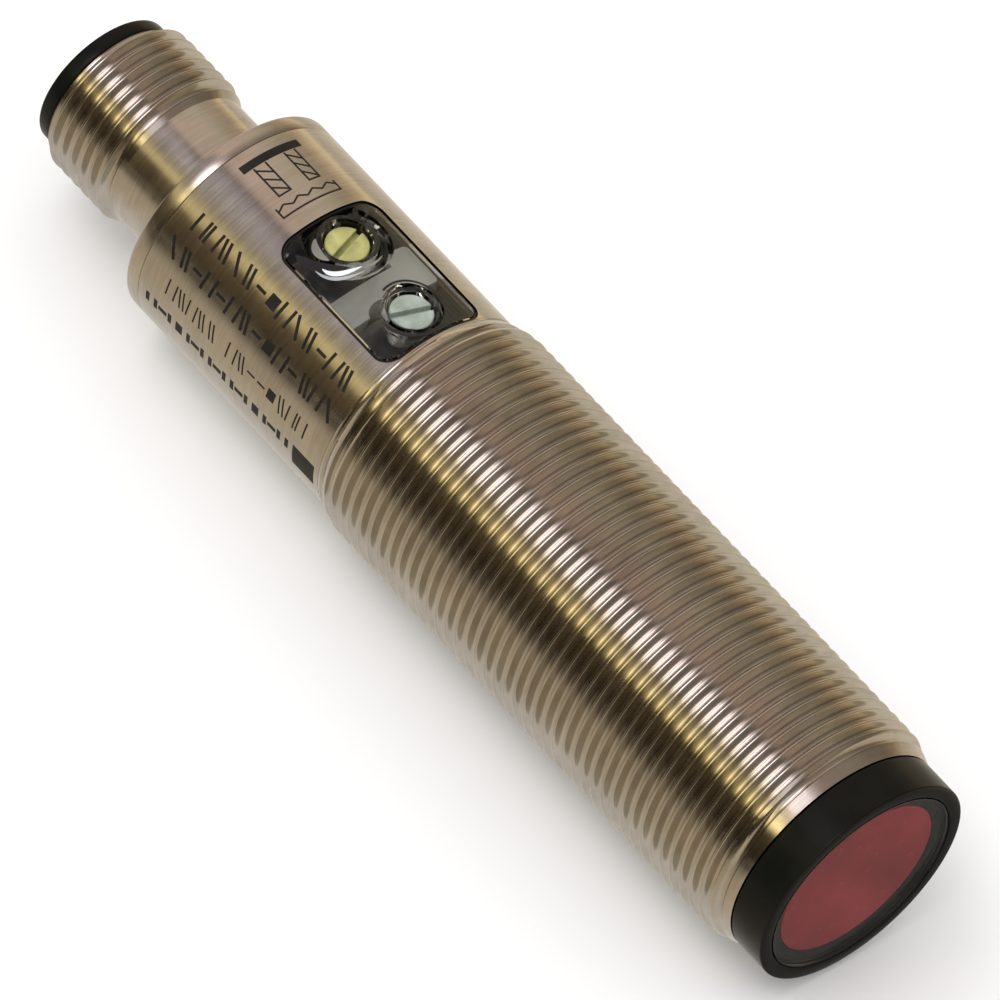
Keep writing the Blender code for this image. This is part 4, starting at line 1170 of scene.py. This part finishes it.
class SENSOR_OT_studio(bpy.types.Operator):
    """Sets up the floor, the soft light, the room and the camera"""

    bl_idname = "sensor.studio"
    bl_label = "Studio"

    def execute(self, context):
        studio = context.scene.studio_settings
        clear_selection()
        bpy.ops.mesh.primitive_plane_add(size=6.0, location=(0.0, 0.0, -CREST_R))
        floor = bpy.context.object
        floor.name = "studio_floor"
        bpy.ops.object.transform_apply(location=True, rotation=True, scale=True)
        floor.data.materials.append(self.floor_finish())

        turn = (Vector(LIGHT_PLACE) - Vector(LIGHT_AIM)).to_track_quat("Z", "Y").to_euler()
        bpy.ops.object.light_add(type="AREA", location=LIGHT_PLACE, rotation=turn)
        key = bpy.context.object
        key.name = "key_light"
        key.data.shape = "RECTANGLE"
        key.data.size = 0.6
        key.data.size_y = 0.4
        key.data.energy = studio.key_power
        key.visible_glossy = False
        key.visible_camera = False

        self.build_room(context.scene, studio)

        bpy.ops.object.camera_add()
        camera = bpy.context.object
        camera.name = "studio_camera"
        camera.data.sensor_width = 36.0
        camera.data.lens = CAMERA_LENS
        camera.data.clip_start = 0.05
        camera.data.clip_end = 20.0
        rows = Matrix((CAMERA_RIGHT, CAMERA_UP, CAMERA_BACK)).transposed()
        camera.matrix_world = Matrix.Translation(CAMERA_PLACE) @ rows.to_4x4()
        context.scene.camera = camera
        context.scene.view_settings.view_transform = "Standard"
        return {"FINISHED"}

    def floor_finish(self):
        """Pale matt floor. Glossy rays see a painted reflection in its place: a glowing sheet that darkens
        away from the sensor.
        """
        made, tree, shader = blank("floor_pale")
        place, x, y, _ = position(tree)
        tree.links.new(between(tree, noise(tree, place, 3.0, 2.0), (0.94, 0.94, 0.94), (0.96, 0.96, 0.96)),
                       shader.inputs["Base Color"])
        shader.inputs["Roughness"].default_value = 0.9
        shader.inputs["Specular IOR Level"].default_value = 0.0
        share = spread(tree, y, 0.0, 1.0, -100.0 * MM, 100.0 * MM)
        painted_reflection_glow = node(tree, "ShaderNodeEmission")
        tree.links.new(stepped(tree, share, [((along + 100.0) / 200.0, colour) for along, colour in PAINTED_FLOOR_REFLECTION]),
                       painted_reflection_glow.inputs["Color"])
        # painted shade on the patch that the front ring mirrors
        ahead = spread(tree, x, 0.0, 0.65, -1.0 * MM, 1.0 * MM)
        beside = near(tree, y, 5.0 * MM, 11.0 * MM, 14.0 * MM)
        tree.links.new(maths(tree, "SUBTRACT", 1.0, maths(tree, "MULTIPLY", ahead, beside)),
                       painted_reflection_glow.inputs["Strength"])
        glossy = node(tree, "ShaderNodeLightPath").outputs["Is Glossy Ray"]
        mix = node(tree, "ShaderNodeMixShader")
        for socket, source in zip(mix.inputs, (glossy, shader.outputs[0], painted_reflection_glow.outputs[0])):
            tree.links.new(source, socket)
        tree.links.new(mix.outputs[0], tree.nodes["Material Output"].inputs["Surface"])
        return made

    def build_room(self, scene, studio):
        """Even pale light for matt surfaces, and a soft-lit room for glossy ones."""
        world = bpy.data.worlds.new("studio_room")
        scene.world = world
        world.use_nodes = True
        tree = world.node_tree
        tree.nodes.clear()
        _, x, y, z = position(tree, "Generated")
        angle = maths(tree, "ARCTAN2", z, y)
        share = maths(tree, "DIVIDE", angle, math.pi)
        room = node(tree, "ShaderNodeBackground")
        tree.links.new(stepped(tree, share, [(degrees / 180.0, shade) for degrees, shade in ROOM]),
                       room.inputs["Color"])
        # the light's bright core, straight overhead
        core = maths(tree, "MULTIPLY", near(tree, x, 0.0, 0.16, 0.32),
                     near(tree, angle, *(math.radians(degrees) for degrees in CORE_ANGLE)))
        core = maths(tree, "MULTIPLY", core, studio.core)
        # towards -X the room is brighter and the light is dimmer
        lamp = near(tree, angle, *(math.radians(degrees) for degrees in LAMP_ANGLE))
        aside = spread(tree, x, 1.0, 0.0, -0.38, -0.18)
        room_side = spread(tree, aside, 0.86, 1.90, 0.0, 1.0)
        lamp_side = spread(tree, aside, 1.05, 0.45, 0.0, 1.0)
        side = maths(tree, "MULTIPLY_ADD", lamp, maths(tree, "SUBTRACT", lamp_side, room_side), room_side)
        strength = maths(tree, "MULTIPLY", maths(tree, "ADD", side, core), studio.room)
        tree.links.new(strength, room.inputs["Strength"])
        sky = node(tree, "ShaderNodeBackground")
        sky.inputs["Color"].default_value = (1.0, 1.0, 1.0, 1.0)
        sky.inputs["Strength"].default_value = studio.sky
        path = node(tree, "ShaderNodeLightPath")
        even = maths(tree, "MINIMUM", 1.0, maths(tree, "ADD", path.outputs["Is Camera Ray"],
                                                 path.outputs["Diffuse Depth"]))
        mix = node(tree, "ShaderNodeMixShader")
        for socket, source in zip(mix.inputs, (even, room.outputs[0], sky.outputs[0])):
            tree.links.new(source, socket)
        out = node(tree, "ShaderNodeOutputWorld")
        tree.links.new(mix.outputs[0], out.inputs["Surface"])


class SENSOR_PT_panel(bpy.types.Panel):
    """Lists the sensor's sizes, colours and building steps."""

    bl_idname = "SENSOR_PT_panel"
    bl_label = "Photoelectric sensor"
    bl_space_type = "VIEW_3D"
    bl_region_type = "UI"
    bl_category = "Sensor"

    def draw(self, context):
        layout = self.layout
        scene = context.scene
        for group in (scene.sensor_sizes, scene.sensor_colours, scene.studio_settings):
            for name in group.__annotations__:
                layout.prop(group, name)
        for step in STEPS:
            layout.operator(step.bl_idname)


STEPS = (SENSOR_OT_studio, SENSOR_OT_barrel, SENSOR_OT_connector, SENSOR_OT_front,
         SENSOR_OT_adjuster_window, SENSOR_OT_adjusters, SENSOR_OT_contacts, SENSOR_OT_marks,
         SENSOR_OT_inside)
CLASSES = (SensorSizes, SensorColours, StudioSettings, *STEPS, SENSOR_PT_panel)


def register():
    for made in CLASSES:
        bpy.utils.register_class(made)
    bpy.types.Scene.sensor_sizes = bpy.props.PointerProperty(type=SensorSizes)
    bpy.types.Scene.sensor_colours = bpy.props.PointerProperty(type=SensorColours)
    bpy.types.Scene.studio_settings = bpy.props.PointerProperty(type=StudioSettings)


def unregister():
    del bpy.types.Scene.studio_settings
    del bpy.types.Scene.sensor_colours
    del bpy.types.Scene.sensor_sizes
    for made in reversed(CLASSES):
        bpy.utils.unregister_class(made)


def main():
    """Builds everything in order."""
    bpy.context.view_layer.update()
    register()
    bpy.ops.sensor.studio()
    bpy.ops.sensor.barrel()
    bpy.ops.sensor.connector()
    bpy.ops.sensor.front()
    bpy.ops.sensor.adjuster_window()
    bpy.ops.sensor.adjusters()
    bpy.ops.sensor.contacts()
    bpy.ops.sensor.marks()
    bpy.ops.sensor.inside()


if __name__ == "__main__":
    main()
